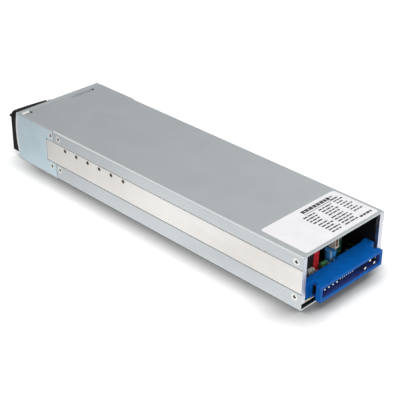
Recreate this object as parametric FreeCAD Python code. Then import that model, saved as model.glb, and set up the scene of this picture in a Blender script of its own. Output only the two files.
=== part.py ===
import FreeCAD, Part
import math
import os

# Rack-mount power supply module, in millimetres.
# X runs across the module, Y along it from the front panel (-Y) to the rear connector (+Y), Z up.
# The origin is the centre of the bottom face.

# Case
case_length = 300.0
case_width = 85.0
case_height = 41.0
sheet = 1.0
bend_radius = 1.5
seam = 0.5
fit = 0.05
top_flange = 9.5
bottom_flange = 12.6

# Front frame: wings along the sides, with screw tabs that lie on the rails
wing_length = 37.7
top_tab_length = 8.7
bottom_tab_length = 11.3
wing_bow = 2.1
wing_bow_foot = 5.5
lip_flush = 3.0
lip_ramp = 1.2
lip_reach = 8.5

# Hooks of the front frame in slots of the top cover
hook_width = 2.5
hook_from_front = 6.8
hook_rise = 0.7
hook_gap = 1.6
near_hook_inset = 3.0
near_hook_length = 5.6
far_hook_inset = 12.1
far_hook_length = 22.4

# Side rails
rail_thickness = 3.2
land_proud = 0.8
land_gap = 0.4
land_shadow_gap = 0.9
rail_edge = 0.8
hole_count = 6
hole_pitch = 13.5
first_hole_from_front = 61.1
hole_below_flange = 3.3
hole_radius = 1.3

# Countersunk screws
screw_radius = 1.5
screw_head_radius = 2.75
screw_length = 3.9
screw_from_top = 5.4
screw_from_bottom = 8.8
tab_screw_inset = 5.9
cover_screw_inset = 6.4
rear_screw_inset = 5.4

# Sides of the hexagon heads and spacers, and of the hidden shanks and their bores
head_sides = 6
shank_sides = 8

# Boards
board_thickness = 1.6
board_gap = 2.6
board_edge_gap = 0.3
board_rear_gap = 1.0
board_fan_gap = 12.2
film_thickness = 0.4
film_inset = 0.5
spacer_radius = 2.5
spacer_bore = 1.3
spacer_inset_x = 9.0
spacer_front_inset = 9.0
spacer_rear_inset = 19.5
board_screw_head_radius = 2.4
board_screw_head_height = 1.4

# Worked out from the above
half_width = case_width / 2
front_y = -case_length / 2
rear_y = case_length / 2
inner_x = half_width - sheet
inner_top = case_height - sheet
rail_inner_x = inner_x - rail_thickness
wing_end = front_y + wing_length
top_tab_end = wing_end + top_tab_length
bottom_tab_end = wing_end + bottom_tab_length
cover_front = front_y + lip_flush + lip_ramp
board_bottom = sheet + board_gap
board_top = board_bottom + board_thickness
board_half = inner_x - board_edge_gap
board_rear = rear_y - board_rear_gap
hole_height = case_height - top_flange - hole_below_flange
screw_top_z = case_height - screw_from_top
screw_bottom_z = screw_from_bottom
tab_screw_y = wing_end + tab_screw_inset
cover_screw_y = top_tab_end + seam + cover_screw_inset
rear_screw_y = rear_y - rear_screw_inset

X_AXIS = FreeCAD.Vector(1, 0, 0)
Y_AXIS = FreeCAD.Vector(0, 1, 0)
Z_AXIS = FreeCAD.Vector(0, 0, 1)


def vec(x, y, z):
    return FreeCAD.Vector(x, y, z)


def block(x0, x1, y0, y1, z0, z1):
    return Part.makeBox(x1 - x0, y1 - y0, z1 - z0, vec(x0, y0, z0))


def rod(radius, start, axis, length):
    return Part.makeCylinder(radius, length, start, axis)


def cone(radius_a, radius_b, start, axis, length):
    return Part.makeCone(radius_a, radius_b, length, start, axis)


def prism(points, along):
    """Closed polygon swept along a straight vector."""
    wire = Part.makePolygon(points + [points[0]])
    return Part.Face(wire).extrude(along)


def bar(sides, radius, start, axis, length):
    """Straight bar with a regular section of so many sides."""
    across = Y_AXIS if abs(axis.x) > 0.5 else X_AXIS
    up = axis.cross(across)
    turns = [2 * math.pi * i / sides for i in range(sides)]
    points = [start + across * (radius * math.cos(t)) + up * (radius * math.sin(t)) for t in turns]
    return prism(points, axis * length)


def hexagon(radius, start, axis, length):
    return bar(head_sides, radius, start, axis, length)


def shank(radius, start, axis, length):
    """Shank of a hidden screw, or the bore that it goes into."""
    return bar(shank_sides, radius, start, axis, length)


def fuse(shapes):
    joined = shapes[0]
    if len(shapes) > 1:
        joined = shapes[0].fuse(shapes[1:])
    return joined.removeSplitter()


def mirrored(shape):
    return shape.mirror(vec(0, 0, 0), X_AXIS)


def group(shapes):
    """Separate solids that share one node."""
    return Part.makeCompound(shapes)


def both_sides(shapes):
    return shapes + [mirrored(shape) for shape in shapes]


def rounded_block(x0, x1, y0, y1, z0, z1, radius, axis):
    """Block with its four edges along one axis rounded."""
    shape = block(x0, x1, y0, y1, z0, z1)
    edges = [edge for edge in shape.Edges if abs(edge.tangentAt(0).dot(axis)) > 0.9]
    return shape.makeFillet(radius, edges)


def save(shape, node):
    shape.exportStep("parts/" + node + ".step")


def cover_screw_points():
    """Places of the countersunk screws on the right side: y, z."""
    heights = (screw_top_z, screw_bottom_z)
    return [(y, z) for y in (cover_screw_y, rear_screw_y) for z in heights]


def tab_screw_points():
    return [(tab_screw_y, z) for z in (screw_top_z, screw_bottom_z)]


def sheet_hole(y, z):
    """Countersunk hole through the sheet on the right side."""
    return cone(screw_head_radius + fit, screw_radius + fit, vec(half_width, y, z), -X_AXIS, sheet)


def rail_hole(y, z):
    """Bore for the same screw's thread in the rail."""
    return shank(screw_radius + fit, vec(rail_inner_x, y, z), X_AXIS, rail_thickness)


def countersunk_screw(y, z):
    head = cone(screw_head_radius, screw_radius, vec(half_width, y, z), -X_AXIS, sheet)
    return head.fuse(shank(screw_radius, vec(inner_x, y, z), -X_AXIS, screw_length - sheet))


def folded_channel(height, y0, y1):
    """Sheet folded to a U, open downwards, with its top at the case's top."""
    outer = block(-half_width, half_width, y0, y1, case_height - height, case_height)
    ridge = [e for e in outer.Edges if abs(e.tangentAt(0).y) > 0.9 and e.CenterOfMass.z > case_height - sheet]
    outer = outer.makeFillet(bend_radius, ridge)
    inner = block(-inner_x, inner_x, y0, y1, case_height - height, inner_top)
    ridge = [e for e in inner.Edges if abs(e.tangentAt(0).y) > 0.9 and e.CenterOfMass.z > inner_top - sheet / 2]
    inner = inner.makeFillet(bend_radius - sheet, ridge)
    return outer.cut(inner)


def hook_spans():
    """Start and length across the module of each hook of the front frame."""
    near_start = half_width - near_hook_inset - near_hook_length
    far_start = far_hook_inset - half_width
    return ((near_start, near_hook_length), (far_start, far_hook_length))


def hook_y():
    return front_y + hook_from_front


def make_top_cover():
    flange_start = top_tab_end + seam
    channel = folded_channel(top_flange, flange_start, rear_y)
    plate = block(-half_width, half_width, cover_front, flange_start, inner_top, case_height)
    slots = []
    for start, length in hook_spans():
        slots.append(block(start - hook_gap, start + length + fit, hook_y() - fit, hook_y() + hook_width + fit,
                           inner_top, case_height))
    holes = [sheet_hole(y, screw_top_z) for y in (cover_screw_y, rear_screw_y)]
    return fuse([channel, plate]).cut(slots + both_sides(holes))


def make_bottom_cover():
    flange_start = bottom_tab_end + seam
    channel = folded_channel(bottom_flange, flange_start, rear_y)
    channel = channel.mirror(vec(0, 0, case_height / 2), Z_AXIS)
    plate = block(-half_width, half_width, cover_front, flange_start, 0, sheet)
    holes = [sheet_hole(y, screw_bottom_z) for y in (cover_screw_y, rear_screw_y)]
    return fuse([channel, plate]).cut(both_sides(holes))


def make_side_rail():
    """Right rail: a bar standing on the board, with a raised land between the two flanges."""
    start = wing_end + seam
    body = block(rail_inner_x, inner_x, start, rear_y, board_top, inner_top)
    edge = [e for e in body.Edges if abs(e.tangentAt(0).y) > 0.9
            and e.CenterOfMass.x > inner_x - fit and e.CenterOfMass.z > inner_top - fit]
    body = body.makeChamfer(rail_edge, edge)
    land_low = bottom_flange + land_gap
    land_high = case_height - top_flange - land_shadow_gap
    land = block(rail_inner_x, inner_x + land_proud, start, rear_y, land_low, land_high)
    holes = [rail_hole(y, z) for y, z in cover_screw_points() + tab_screw_points()]
    for y in transistor_places():
        holes.append(rod(hole_radius, vec(rail_inner_x, y, hole_height), X_AXIS, rail_thickness + land_proud))
    for x, y in rail_foot_places():
        holes.append(shank(rail_screw_radius + fit, vec(x, y, board_top), Z_AXIS, rail_screw_reach + fit))
    return fuse([body, land]).cut(holes)


def transistor_places():
    return [front_y + first_hole_from_front + hole_pitch * i for i in range(hole_count)]


def lip_profile(x):
    """Section of the front frame's upper lip: flush at the front, then stepped down under the cover."""
    y0 = front_y
    y1 = front_y + lip_flush
    y2 = y1 + lip_ramp
    y3 = front_y + lip_reach + hook_width
    z = case_height
    return [vec(x, y0, z), vec(x, y1, z), vec(x, y2, z - sheet), vec(x, y3, z - sheet),
            vec(x, y3, z - 2 * sheet), vec(x, y2 - sheet / 2, z - 2 * sheet), vec(x, y1 - sheet / 2, z - sheet),
            vec(x, y0 + sheet, z - sheet), vec(x, y0 + sheet, z / 2), vec(x, y0, z / 2)]


def wing_profile():
    """Outline of one side wing, with its bowed front edge and its two screw tabs."""
    x = inner_x
    low = vec(x, front_y, wing_bow_foot)
    high = vec(x, front_y, inner_top)
    middle = vec(x, front_y - wing_bow, (wing_bow_foot + inner_top) / 2)
    flush = front_y + lip_flush
    corners = [high, vec(x, front_y, case_height), vec(x, flush, case_height), vec(x, flush, inner_top),
               vec(x, top_tab_end, inner_top), vec(x, top_tab_end, case_height - top_flange),
               vec(x, wing_end, case_height - top_flange), vec(x, wing_end, bottom_flange),
               vec(x, bottom_tab_end, bottom_flange), vec(x, bottom_tab_end, sheet),
               vec(x, flush, sheet), vec(x, flush, 0), vec(x, front_y, 0), low]
    edges = [Part.Arc(low, middle, high).toShape()]
    edges += [Part.makeLine(a, b) for a, b in zip(corners, corners[1:])]
    return Part.Wire(edges)


# Fan
fan_gap = 0.5
fan_side_gap = 2.5
fan_depth = 28.0
fan_corner = 2.75
fan_hole_radius = 1.7
fan_duct_wall = 1.0
fan_tip_gap = 0.5
fan_hub_radius = 9.0
fan_hub_wall = 1.2
fan_hub_length = 20.0
fan_base_radius = 8.6
fan_base_thickness = 2.5
fan_strut_width = 2.2
fan_strut_count = 4
fan_blade_count = 7
fan_blade_thickness = 1.2
fan_blade_camber = 1.3
fan_blade_chord = 13.0
fan_blade_stations = 3
fan_root_pitch = 48.0
fan_tip_pitch = 32.0
fan_run_gap = 0.8
shaft_radius = 1.5
bearing_radius = 2.6
bearing_length = 15.0
tube_wall = 1.0
stator_radius = 7.0
stator_length = 9.0
guard_thickness = 0.8
guard_hole_flat = 4.6
guard_bar = 1.0
window_step = 0.4
fan_screw_head_radius = 2.9
fan_screw_head_height = 1.5
fan_screw_length = 9.0

# Pull handle and its hinge
pull_proud = 7.6
pull_top_gap = 1.6
pull_bottom = 4.3
pull_side_gap = 0.1
pull_back_gap = 0.5
pull_thin = 4.6
pull_crown = 0.7
pull_corner = 4.0
pull_foot_corner = 2.0
window_left_wall = 6.4
window_right_wall = 7.0
window_low_wall = 7.0
window_high_wall = 6.6
window_corner = 3.0
scoop_gap = 0.4
nub_radius = 1.1
nub_drop = 4.4
nub_length = 2.4
nub_inset = 1.3
hinge_fan_gap = 8.5
hinge_out = 3.4
pin_radius = 1.0
pin_run = 0.05
knuckle_radius = 2.0
knuckle_height = 3.4
knuckle_gap = 0.3
knuckle_low = 8.0
knuckle_top_gap = 2.4
arm_gap = 3.1
bracket_fan_side = 5.5
bracket_pull_side = 2.4

# Status lights
light_count = 2
light_pitch = 6.0
light_x = 22.0
light_radius = 1.5
light_length = 6.0
light_proud = 0.5
light_edge = 0.3

fan_side = case_height - 4 * sheet - 2 * fan_gap
fan_bore_radius = fan_side / 2 - fan_duct_wall
fan_hole_pitch = fan_side - 2 * fan_corner
window_radius = fan_bore_radius - window_step
fan_x = fan_side_gap + fan_side / 2 - inner_x
fan_z = case_height / 2
guard_y = front_y + sheet
fan_front = guard_y + guard_thickness
fan_rear = fan_front + fan_depth
board_front = fan_rear + board_fan_gap
hinge_x = fan_x + fan_side / 2 + hinge_fan_gap
arm_start = hinge_x + arm_gap
knuckle_high = case_height - knuckle_top_gap
hinge_y = front_y - hinge_out
pull_front = front_y - pull_proud
pull_back = front_y - pull_back_gap
pull_top = case_height - pull_top_gap
pull_end = half_width - pull_side_gap


def light_places():
    return [light_x + light_pitch * i for i in range(light_count)]


def fan_corners():
    half = fan_hole_pitch / 2
    return [(fan_x + i * half, fan_z + j * half) for i in (-1, 1) for j in (-1, 1)]


def make_front_frame():
    """Front panel folded with an upper and a lower lip, welded to a wing on each side."""
    upper = prism(lip_profile(-inner_x), vec(2 * inner_x, 0, 0))
    edge = [e for e in upper.Edges if abs(e.tangentAt(0).x) > 0.9
            and e.CenterOfMass.y < front_y + fit and e.CenterOfMass.z > inner_top]
    upper = upper.makeFillet(bend_radius - sheet, edge)
    lower = upper.mirror(vec(0, 0, case_height / 2), Z_AXIS)
    wing = Part.Face(wing_profile()).extrude(vec(sheet, 0, 0))
    wing = wing.cut([sheet_hole(y, z) for y, z in tab_screw_points()])
    hooks = []
    gaps = []
    for start, length in hook_spans():
        hooks.append(block(start, start + length, hook_y(), hook_y() + hook_width,
                           inner_top - sheet, inner_top + hook_rise))
        gaps.append(block(start - hook_gap, start, hook_y(), hook_y() + hook_width,
                          inner_top - sheet, inner_top))
    window = rod(window_radius, vec(fan_x, front_y, fan_z), Y_AXIS, sheet)
    holes = [shank(fan_hole_radius, vec(x, front_y, z), Y_AXIS, sheet) for x, z in fan_corners()]
    holes += [rod(light_radius + fit, vec(x, front_y, fan_z), Y_AXIS, sheet) for x in light_places()]
    return fuse([upper, lower, wing, mirrored(wing)] + hooks).cut(gaps + [window] + holes)


def make_fan_guard():
    """Flat finger guard punched with a honeycomb of holes."""
    half = fan_side / 2
    plate = block(fan_x - half, fan_x + half, guard_y, guard_y + guard_thickness, fan_z - half, fan_z + half)
    step = guard_hole_flat + guard_bar
    column_step = step * math.sqrt(3) / 2
    corner = guard_hole_flat / math.sqrt(3)
    reach = window_radius - corner
    columns = int(reach / column_step)
    rows = int(reach / step) + 1
    holes = []
    for column in range(-columns, columns + 1):
        x = column * column_step
        shift = step / 2 if column % 2 else 0.0
        for row in range(-rows, rows + 1):
            z = row * step + shift
            if math.hypot(x, z) <= reach:
                holes.append(hexagon(corner, vec(fan_x + x, guard_y, fan_z + z), Y_AXIS, guard_thickness))
    holes += [shank(fan_hole_radius, vec(x, guard_y, z), Y_AXIS, guard_thickness) for x, z in fan_corners()]
    return plate.cut(holes)


def fan_axis_point(y):
    return vec(fan_x, y, fan_z)


def make_fan_frame():
    """Square fan housing with a round duct, and struts at its outlet that carry the motor's tube."""
    half = fan_side / 2
    body = rounded_block(fan_x - half, fan_x + half, fan_front, fan_rear, fan_z - half, fan_z + half,
                         fan_corner, Y_AXIS)
    body = body.cut(rod(fan_bore_radius, fan_axis_point(fan_front), Y_AXIS, fan_depth))
    base_y = fan_rear - fan_base_thickness
    base = rod(fan_base_radius, fan_axis_point(base_y), Y_AXIS, fan_base_thickness)
    tube = rod(bearing_radius + tube_wall, fan_axis_point(fan_rear - bearing_length), Y_AXIS, bearing_length)
    struts = []
    for i in range(fan_strut_count):
        strut = block(fan_x, fan_x + fan_bore_radius + tube_wall / 2, base_y, fan_rear,
                      fan_z - fan_strut_width / 2, fan_z + fan_strut_width / 2)
        struts.append(strut.rotate(fan_axis_point(0), Y_AXIS, 45 + 360 * i / fan_strut_count))
    holes = [shank(fan_hole_radius, vec(x, fan_front, z), Y_AXIS, fan_depth) for x, z in fan_corners()]
    holes.append(rod(bearing_radius, fan_axis_point(fan_rear - bearing_length), Y_AXIS, bearing_length))
    return fuse([body, base, tube] + struts).cut(holes)


def make_fan_bearing():
    start = fan_axis_point(fan_rear - bearing_length)
    sleeve = rod(bearing_radius, start, Y_AXIS, bearing_length)
    return sleeve.cut(rod(shaft_radius + pin_run, start, Y_AXIS, bearing_length))


def make_fan_stator():
    """Iron core and coils round the bearing tube, with a slot between each pair of poles."""
    y0 = fan_rear - fan_base_thickness - stator_length - fan_run_gap
    ring = rod(stator_radius, fan_axis_point(y0), Y_AXIS, stator_length + fan_run_gap)
    ring = ring.cut(rod(bearing_radius + tube_wall, fan_axis_point(y0), Y_AXIS, stator_length + fan_run_gap))
    slots = []
    for i in range(fan_strut_count):
        slot = block(fan_x + bearing_radius + 2 * tube_wall, fan_x + stator_radius, y0, y0 + stator_length,
                     fan_z - tube_wall, fan_z + tube_wall)
        slots.append(slot.rotate(fan_axis_point(0), Y_AXIS, 360 * i / fan_strut_count))
    return ring.cut(slots)


def blade_section(radius, pitch):
    """Cambered blade section, square to the radius: its back from edge to edge, then its face."""
    turn = FreeCAD.Rotation(Z_AXIS, pitch)
    middle = vec(fan_x, hub_front() + fan_hub_length / 2, fan_z + radius)
    stations = [2 * i / fan_blade_stations - 1 for i in range(fan_blade_stations + 1)]
    back = [(s, fan_blade_camber + fan_blade_thickness / 2) for s in stations]
    face = [(s, fan_blade_camber - fan_blade_thickness / 2) for s in reversed(stations[1:-1])]
    points = []
    for station, rise in back + face:
        offset = vec(station * fan_blade_chord / 2, rise * (1 - station ** 2), 0)
        points.append(middle + turn.multVec(offset))
    return Part.makePolygon(points + [points[0]])


def hub_front():
    return fan_rear - fan_base_thickness - fan_run_gap - fan_hub_length


def make_fan_rotor():
    """Cup-shaped hub with twisted blades, trimmed to run just inside the duct."""
    tip = fan_bore_radius - fan_tip_gap
    hub = rod(fan_hub_radius, fan_axis_point(hub_front()), Y_AXIS, fan_hub_length)
    root = fan_hub_radius - fan_hub_wall
    sections = [blade_section(root, fan_root_pitch), blade_section(fan_bore_radius, fan_tip_pitch)]
    blade = Part.makeLoft(sections, True, True)
    sweep = rod(tip, fan_axis_point(hub_front()), Y_AXIS, fan_hub_length)
    blade = blade.common(sweep)
    blades = []
    for i in range(fan_blade_count):
        blades.append(blade.copy().rotate(fan_axis_point(0), Y_AXIS, 360 * i / fan_blade_count))
    cup = rod(root, fan_axis_point(hub_front() + fan_hub_wall), Y_AXIS, fan_hub_length - fan_hub_wall)
    bore = rod(shaft_radius + fit / 2, fan_axis_point(hub_front()), Y_AXIS, fan_hub_length)
    boss_length = fan_rear - bearing_length - fan_run_gap - hub_front()
    boss = rod(shaft_radius + tube_wall, fan_axis_point(hub_front()), Y_AXIS, boss_length)
    return fuse([hub] + blades).cut(cup).fuse(boss).cut(bore).removeSplitter()


def make_fan_shaft():
    return rod(shaft_radius, fan_axis_point(hub_front()), Y_AXIS, fan_rear - tube_wall - hub_front())


def make_fan_screws():
    """Screws through the panel and the guard into the corners of the fan."""
    screws = []
    for x, z in fan_corners():
        start = vec(x, front_y - fan_screw_head_height, z)
        head = rod(fan_screw_head_radius, start, Y_AXIS, fan_screw_head_height)
        screws.append(head.fuse(shank(fan_hole_radius - fit, vec(x, front_y, z), Y_AXIS, fan_screw_length)))
    return group(screws)


def hinge_point(z):
    return vec(hinge_x, hinge_y, z)


def make_hinge_bracket():
    """Flat plate on the front panel with a knuckle at each end round the hinge pin."""
    plate_front = front_y - sheet
    plate = block(hinge_x - bracket_fan_side, hinge_x + bracket_pull_side, plate_front, front_y,
                  knuckle_low, knuckle_high)
    pieces = [plate]
    for z in (knuckle_low, knuckle_high - knuckle_height):
        pieces.append(rod(knuckle_radius, hinge_point(z), Z_AXIS, knuckle_height))
        pieces.append(block(hinge_x - knuckle_radius, hinge_x + knuckle_radius, hinge_y, plate_front,
                            z, z + knuckle_height))
    return fuse(pieces).cut(rod(pin_radius, hinge_point(knuckle_low), Z_AXIS, knuckle_high - knuckle_low))


def make_hinge_pin():
    return rod(pin_radius, hinge_point(knuckle_low), Z_AXIS, knuckle_high - knuckle_low)


def pull_plan(z):
    """Plan of the pull: a wedge with a slightly crowned front, thickest at its free end."""
    free = vec(pull_end, pull_front, z)
    start = vec(arm_start, pull_back - pull_thin, z)
    middle = vec((arm_start + pull_end) / 2, (pull_front + pull_back - pull_thin) / 2 - pull_crown, z)
    back_free = vec(pull_end, pull_back, z)
    back_start = vec(arm_start, pull_back, z)
    edges = [Part.Arc(start, middle, free).toShape(), Part.makeLine(free, back_free),
             Part.makeLine(back_free, back_start), Part.makeLine(back_start, start)]
    return Part.Wire(edges)


def wing_scoop():
    """Space for the bowed front edge of the right wing, behind the pull's free end."""
    x = inner_x - scoop_gap
    low = vec(x, front_y - scoop_gap, wing_bow_foot)
    high = vec(x, front_y - scoop_gap, inner_top)
    crest = vec(x, front_y - wing_bow - scoop_gap, (wing_bow_foot + inner_top) / 2)
    outline = Part.Wire([Part.Arc(low, crest, high).toShape(), Part.makeLine(high, low)])
    return Part.Face(outline).extrude(vec(case_width, 0, 0))


def make_pull_handle():
    """Moulded pull: a wedge-shaped loop with a barrel that turns on the hinge pin."""
    body = Part.Face(pull_plan(pull_bottom)).extrude(vec(0, 0, pull_top - pull_bottom))
    top_corner = [e for e in body.Edges if abs(e.tangentAt(0).y) > 0.9
                  and e.CenterOfMass.x > pull_end - fit and e.CenterOfMass.z > pull_top - fit]
    body = body.makeFillet(pull_corner, top_corner)
    foot_corner = [e for e in body.Edges if abs(e.tangentAt(0).y) > 0.9
                   and e.CenterOfMass.x > pull_end - fit and e.CenterOfMass.z < pull_bottom + fit]
    body = body.makeFillet(pull_foot_corner, foot_corner)
    window = rounded_block(arm_start + window_left_wall, pull_end - window_right_wall,
                           pull_front - pull_proud, front_y,
                           pull_bottom + window_low_wall, pull_top - window_high_wall, window_corner, Y_AXIS)
    barrel_low = knuckle_low + knuckle_height + knuckle_gap
    barrel_length = knuckle_high - knuckle_height - knuckle_gap - barrel_low
    barrel = rod(knuckle_radius, hinge_point(barrel_low), Z_AXIS, barrel_length)
    web = block(hinge_x, arm_start + fit, hinge_y - knuckle_radius, hinge_y + knuckle_radius,
                barrel_low, barrel_low + barrel_length)
    bore = rod(pin_radius + pin_run, hinge_point(barrel_low), Z_AXIS, barrel_length)
    nub_start = vec(pull_end - nub_inset, pull_front - nub_length, pull_top - nub_drop)
    nub = rod(nub_radius, nub_start, Y_AXIS, nub_length + pull_thin / 2)
    return fuse([body, barrel, web, nub]).cut([window, wing_scoop(), bore])


def make_status_lights():
    lights = []
    for x in light_places():
        lens = rod(light_radius, vec(x, front_y - light_proud, fan_z), Y_AXIS, light_length)
        rim = [e for e in lens.Edges if e.isClosed() and e.CenterOfMass.y < front_y]
        lights.append(lens.makeChamfer(light_edge, rim))
    return group(lights)


# Rear connector on the board's end
connector_front = 8.2
connector_top = 17.8
connector_lift = 0.4
shroud_wall = 2.2
shroud_depth = 11.0
ear_side_gap = 2.1
ear_width = 3.3
ear_front_gap = 1.6
ear_depth = 7.4
ear_hole_inset = 2.3
groove_depth = 3.2
groove_width = 4.6
groove_from_ear = 1.4
back_inset = 1.5
back_step = 1.2
signal_step = 2.8
signal_end = -2.5
pin_size = 1.0
signal_count = 4
signal_pitch = 4.2
signal_inset = 5.3
upper_row = 14.0
lower_row = 9.5
pin_recess = 1.2
inlet_pin_size = 2.0
inlet_pitch = 5.05
inlet_inset = 11.9
blade_count = 4
blade_pitch = 6.0
blade_recess = 6.2
blade_size = 1.2
blade_height = 5.6
tail_gap = 1.0

# Screws through the board: into the rails' feet, the spacers and the connector's ears
rail_screw_radius = 1.0
rail_screw_reach = 5.0
rail_screw_head = 1.5
rail_screw_head_height = 1.2
rail_foot_inset = 30.0
ear_screw_radius = 1.2
ear_screw_head = 2.1
ear_screw_head_height = 1.4

# Transistors on the rails
tab_thickness = 1.3
case_thickness = 4.5
transistor_width = 10.2
transistor_case_height = 9.0
transistor_tab_top = 3.2
transistor_tab_low = 3.6
lead_width = 0.9
lead_depth = 0.6
lead_pitch = 2.54
lead_from_rail = 2.4
tab_hole_radius = 1.6
tab_screw_head = 2.6
tab_screw_head_height = 1.7
tab_screw_reach = 2.2

connector_face = rear_y + connector_front
connector_low = board_top + connector_lift
ear_half = rail_inner_x - ear_side_gap
ear_hole_x = ear_half - ear_hole_inset
shroud_half = ear_half - ear_width
ear_face = rear_y - ear_front_gap
ear_back = ear_face - ear_depth
cavity_floor = connector_face - shroud_depth


def rail_middle_x():
    return (rail_inner_x + inner_x) / 2


def rail_foot_places():
    start = wing_end + rail_foot_inset
    end = rear_y - rail_foot_inset
    return [(rail_middle_x(), y) for y in (start, end)]


def spacer_places():
    x = board_half - spacer_inset_x
    ends = (board_front + spacer_front_inset, board_rear - spacer_rear_inset)
    return [(side * x, y) for side in (-1, 1) for y in ends]


def tail_y():
    return ear_back - tail_gap


def make_main_board():
    board = block(-board_half, board_half, board_front, board_rear, board_bottom, board_top)
    places = [(x, y, spacer_bore) for x, y in spacer_places()]
    for side in (-1, 1):
        places += [(side * x, y, rail_screw_radius) for x, y in rail_foot_places()]
        places.append((side * ear_hole_x, ear_middle(), ear_screw_radius))
    return board.cut([shank(r + fit, vec(x, y, board_bottom), Z_AXIS, board_thickness) for x, y, r in places])


def make_insulating_sheet():
    half = board_half - film_inset
    film = block(-half, half, board_front, board_rear, sheet, sheet + film_thickness)
    holes = [hexagon(spacer_radius + fit, vec(x, y, sheet), Z_AXIS, film_thickness) for x, y in spacer_places()]
    return film.cut(holes)


def make_board_spacers():
    spacers = []
    for x, y in spacer_places():
        post = hexagon(spacer_radius, vec(x, y, sheet), Z_AXIS, board_gap)
        spacers.append(post.cut(shank(spacer_bore, vec(x, y, sheet + film_thickness), Z_AXIS, board_gap)))
    return group(spacers)


def make_board_screws():
    screws = []
    for x, y in spacer_places():
        head = hexagon(board_screw_head_radius, vec(x, y, board_top), Z_AXIS, board_screw_head_height)
        length = board_thickness + board_gap - film_thickness - fit
        screws.append(head.fuse(shank(spacer_bore - fit, vec(x, y, board_top - length), Z_AXIS, length)))
    return group(screws)


def make_rail_screws():
    screws = []
    length = board_thickness + rail_screw_reach
    for x, y in rail_foot_places():
        low = vec(x, y, board_bottom - rail_screw_head_height)
        head = hexagon(rail_screw_head, low, Z_AXIS, rail_screw_head_height)
        screws.append(head.fuse(shank(rail_screw_radius, vec(x, y, board_bottom), Z_AXIS, length)))
    return group(both_sides(screws))


def ear_middle():
    return (ear_face + ear_back) / 2


def signal_places():
    first = shroud_half - signal_inset
    return [(first - signal_pitch * i, upper_row) for i in range(signal_count)]


def inlet_places():
    """Three round the points of a flat triangle, the middle one in the upper row."""
    middle = inlet_inset - shroud_half
    return [(middle, upper_row), (middle - inlet_pitch, lower_row), (middle + inlet_pitch, lower_row)]


def blade_places():
    first = -blade_pitch * (blade_count - 1) / 2
    return [(first + blade_pitch * i, (upper_row + lower_row) / 2) for i in range(blade_count)]


def angled_pin(x, z, width, height, tip_y):
    """Flat-sided pin: along the connector, then down behind it to the board."""
    run = block(x - width / 2, x + width / 2, tail_y(), tip_y, z - height / 2, z + height / 2)
    tail = block(x - width / 2, x + width / 2, tail_y() - pin_size, tail_y(), board_top, z + height / 2)
    return run.fuse(tail).removeSplitter()


def pin_hole(x, z, width, height):
    return block(x - width / 2 - fit, x + width / 2 + fit, ear_back, cavity_floor,
                 z - height / 2 - fit, z + height / 2 + fit)


def make_connector_housing():
    """Moulded shell: an open shroud for the mating half, and an ear at each end screwed to the board."""
    shroud = block(-shroud_half, shroud_half, ear_back, connector_face, connector_low, connector_top)
    rim = [e for e in shroud.Edges if abs(e.tangentAt(0).y) > 0.9]
    shroud = shroud.makeFillet(bend_radius / 2, rim)
    ears = block(-ear_half, ear_half, ear_back, ear_face, board_top, connector_top)
    cavity = block(-shroud_half + shroud_wall, shroud_half - shroud_wall, cavity_floor, connector_face,
                   connector_low + shroud_wall, connector_top - shroud_wall)
    rounds = [e for e in cavity.Edges if abs(e.tangentAt(0).y) > 0.9]
    cavity = cavity.makeFillet(bend_radius / 2, rounds)
    groove_y = ear_face + groove_from_ear
    groove = block(shroud_half - groove_depth, ear_half, groove_y, groove_y + groove_width,
                   connector_low, connector_top)
    ear_foot = vec(ear_hole_x, ear_middle(), board_top)
    bore = shank(ear_screw_radius + fit, ear_foot, Z_AXIS, connector_top - board_top)
    back_half = shroud_half - back_inset
    back = block(-back_half, back_half, ear_back, ear_back + back_step, board_top, connector_top)
    signal_back = block(signal_end, back_half, ear_back, ear_back + signal_step, board_top, connector_top)
    cuts = [cavity, back, signal_back] + both_sides([groove, bore])
    cuts += [pin_hole(x, z, pin_size, pin_size) for x, z in signal_places()]
    cuts += [pin_hole(x, z, inlet_pin_size, inlet_pin_size) for x, z in inlet_places()]
    cuts += [pin_hole(x, z, blade_size, blade_height) for x, z in blade_places()]
    return fuse([shroud, ears]).cut(cuts)


def make_signal_pins():
    tip = connector_face - pin_recess
    return group([angled_pin(x, z, pin_size, pin_size, tip) for x, z in signal_places()])


def make_inlet_pins():
    tip = connector_face - pin_recess
    return group([angled_pin(x, z, inlet_pin_size, inlet_pin_size, tip) for x, z in inlet_places()])


def make_power_blades():
    tip = connector_face - blade_recess
    return group([angled_pin(x, z, blade_size, blade_height, tip) for x, z in blade_places()])


def make_connector_screws():
    """Screws from under the board up into the connector's ears."""
    low = vec(ear_hole_x, ear_middle(), board_bottom - ear_screw_head_height)
    head = hexagon(ear_screw_head, low, Z_AXIS, ear_screw_head_height)
    length = board_thickness + (connector_top - board_top) / 2
    thread = shank(ear_screw_radius, vec(ear_hole_x, ear_middle(), board_bottom), Z_AXIS, length)
    return group(both_sides([head.fuse(thread)]))


def make_transistor(y):
    """Flat power transistor on the right rail: metal tab, moulded case and three leads down to the board."""
    face = rail_inner_x
    half = transistor_width / 2
    case_top = hole_height - transistor_tab_low
    case_low = case_top - transistor_case_height
    tab = block(face - tab_thickness, face, y - half, y + half, case_low, hole_height + transistor_tab_top)
    case = block(face - case_thickness, face - tab_thickness, y - half, y + half, case_low, case_top)
    leads = []
    for i in (-1, 0, 1):
        middle = y + i * lead_pitch
        leads.append(block(face - lead_from_rail - lead_depth, face - lead_from_rail, middle - lead_width / 2,
                           middle + lead_width / 2, board_top, case_low))
    hole = shank(tab_hole_radius, vec(face - tab_thickness, y, hole_height), X_AXIS, tab_thickness)
    return fuse([tab, case] + leads).cut(hole)


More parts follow.
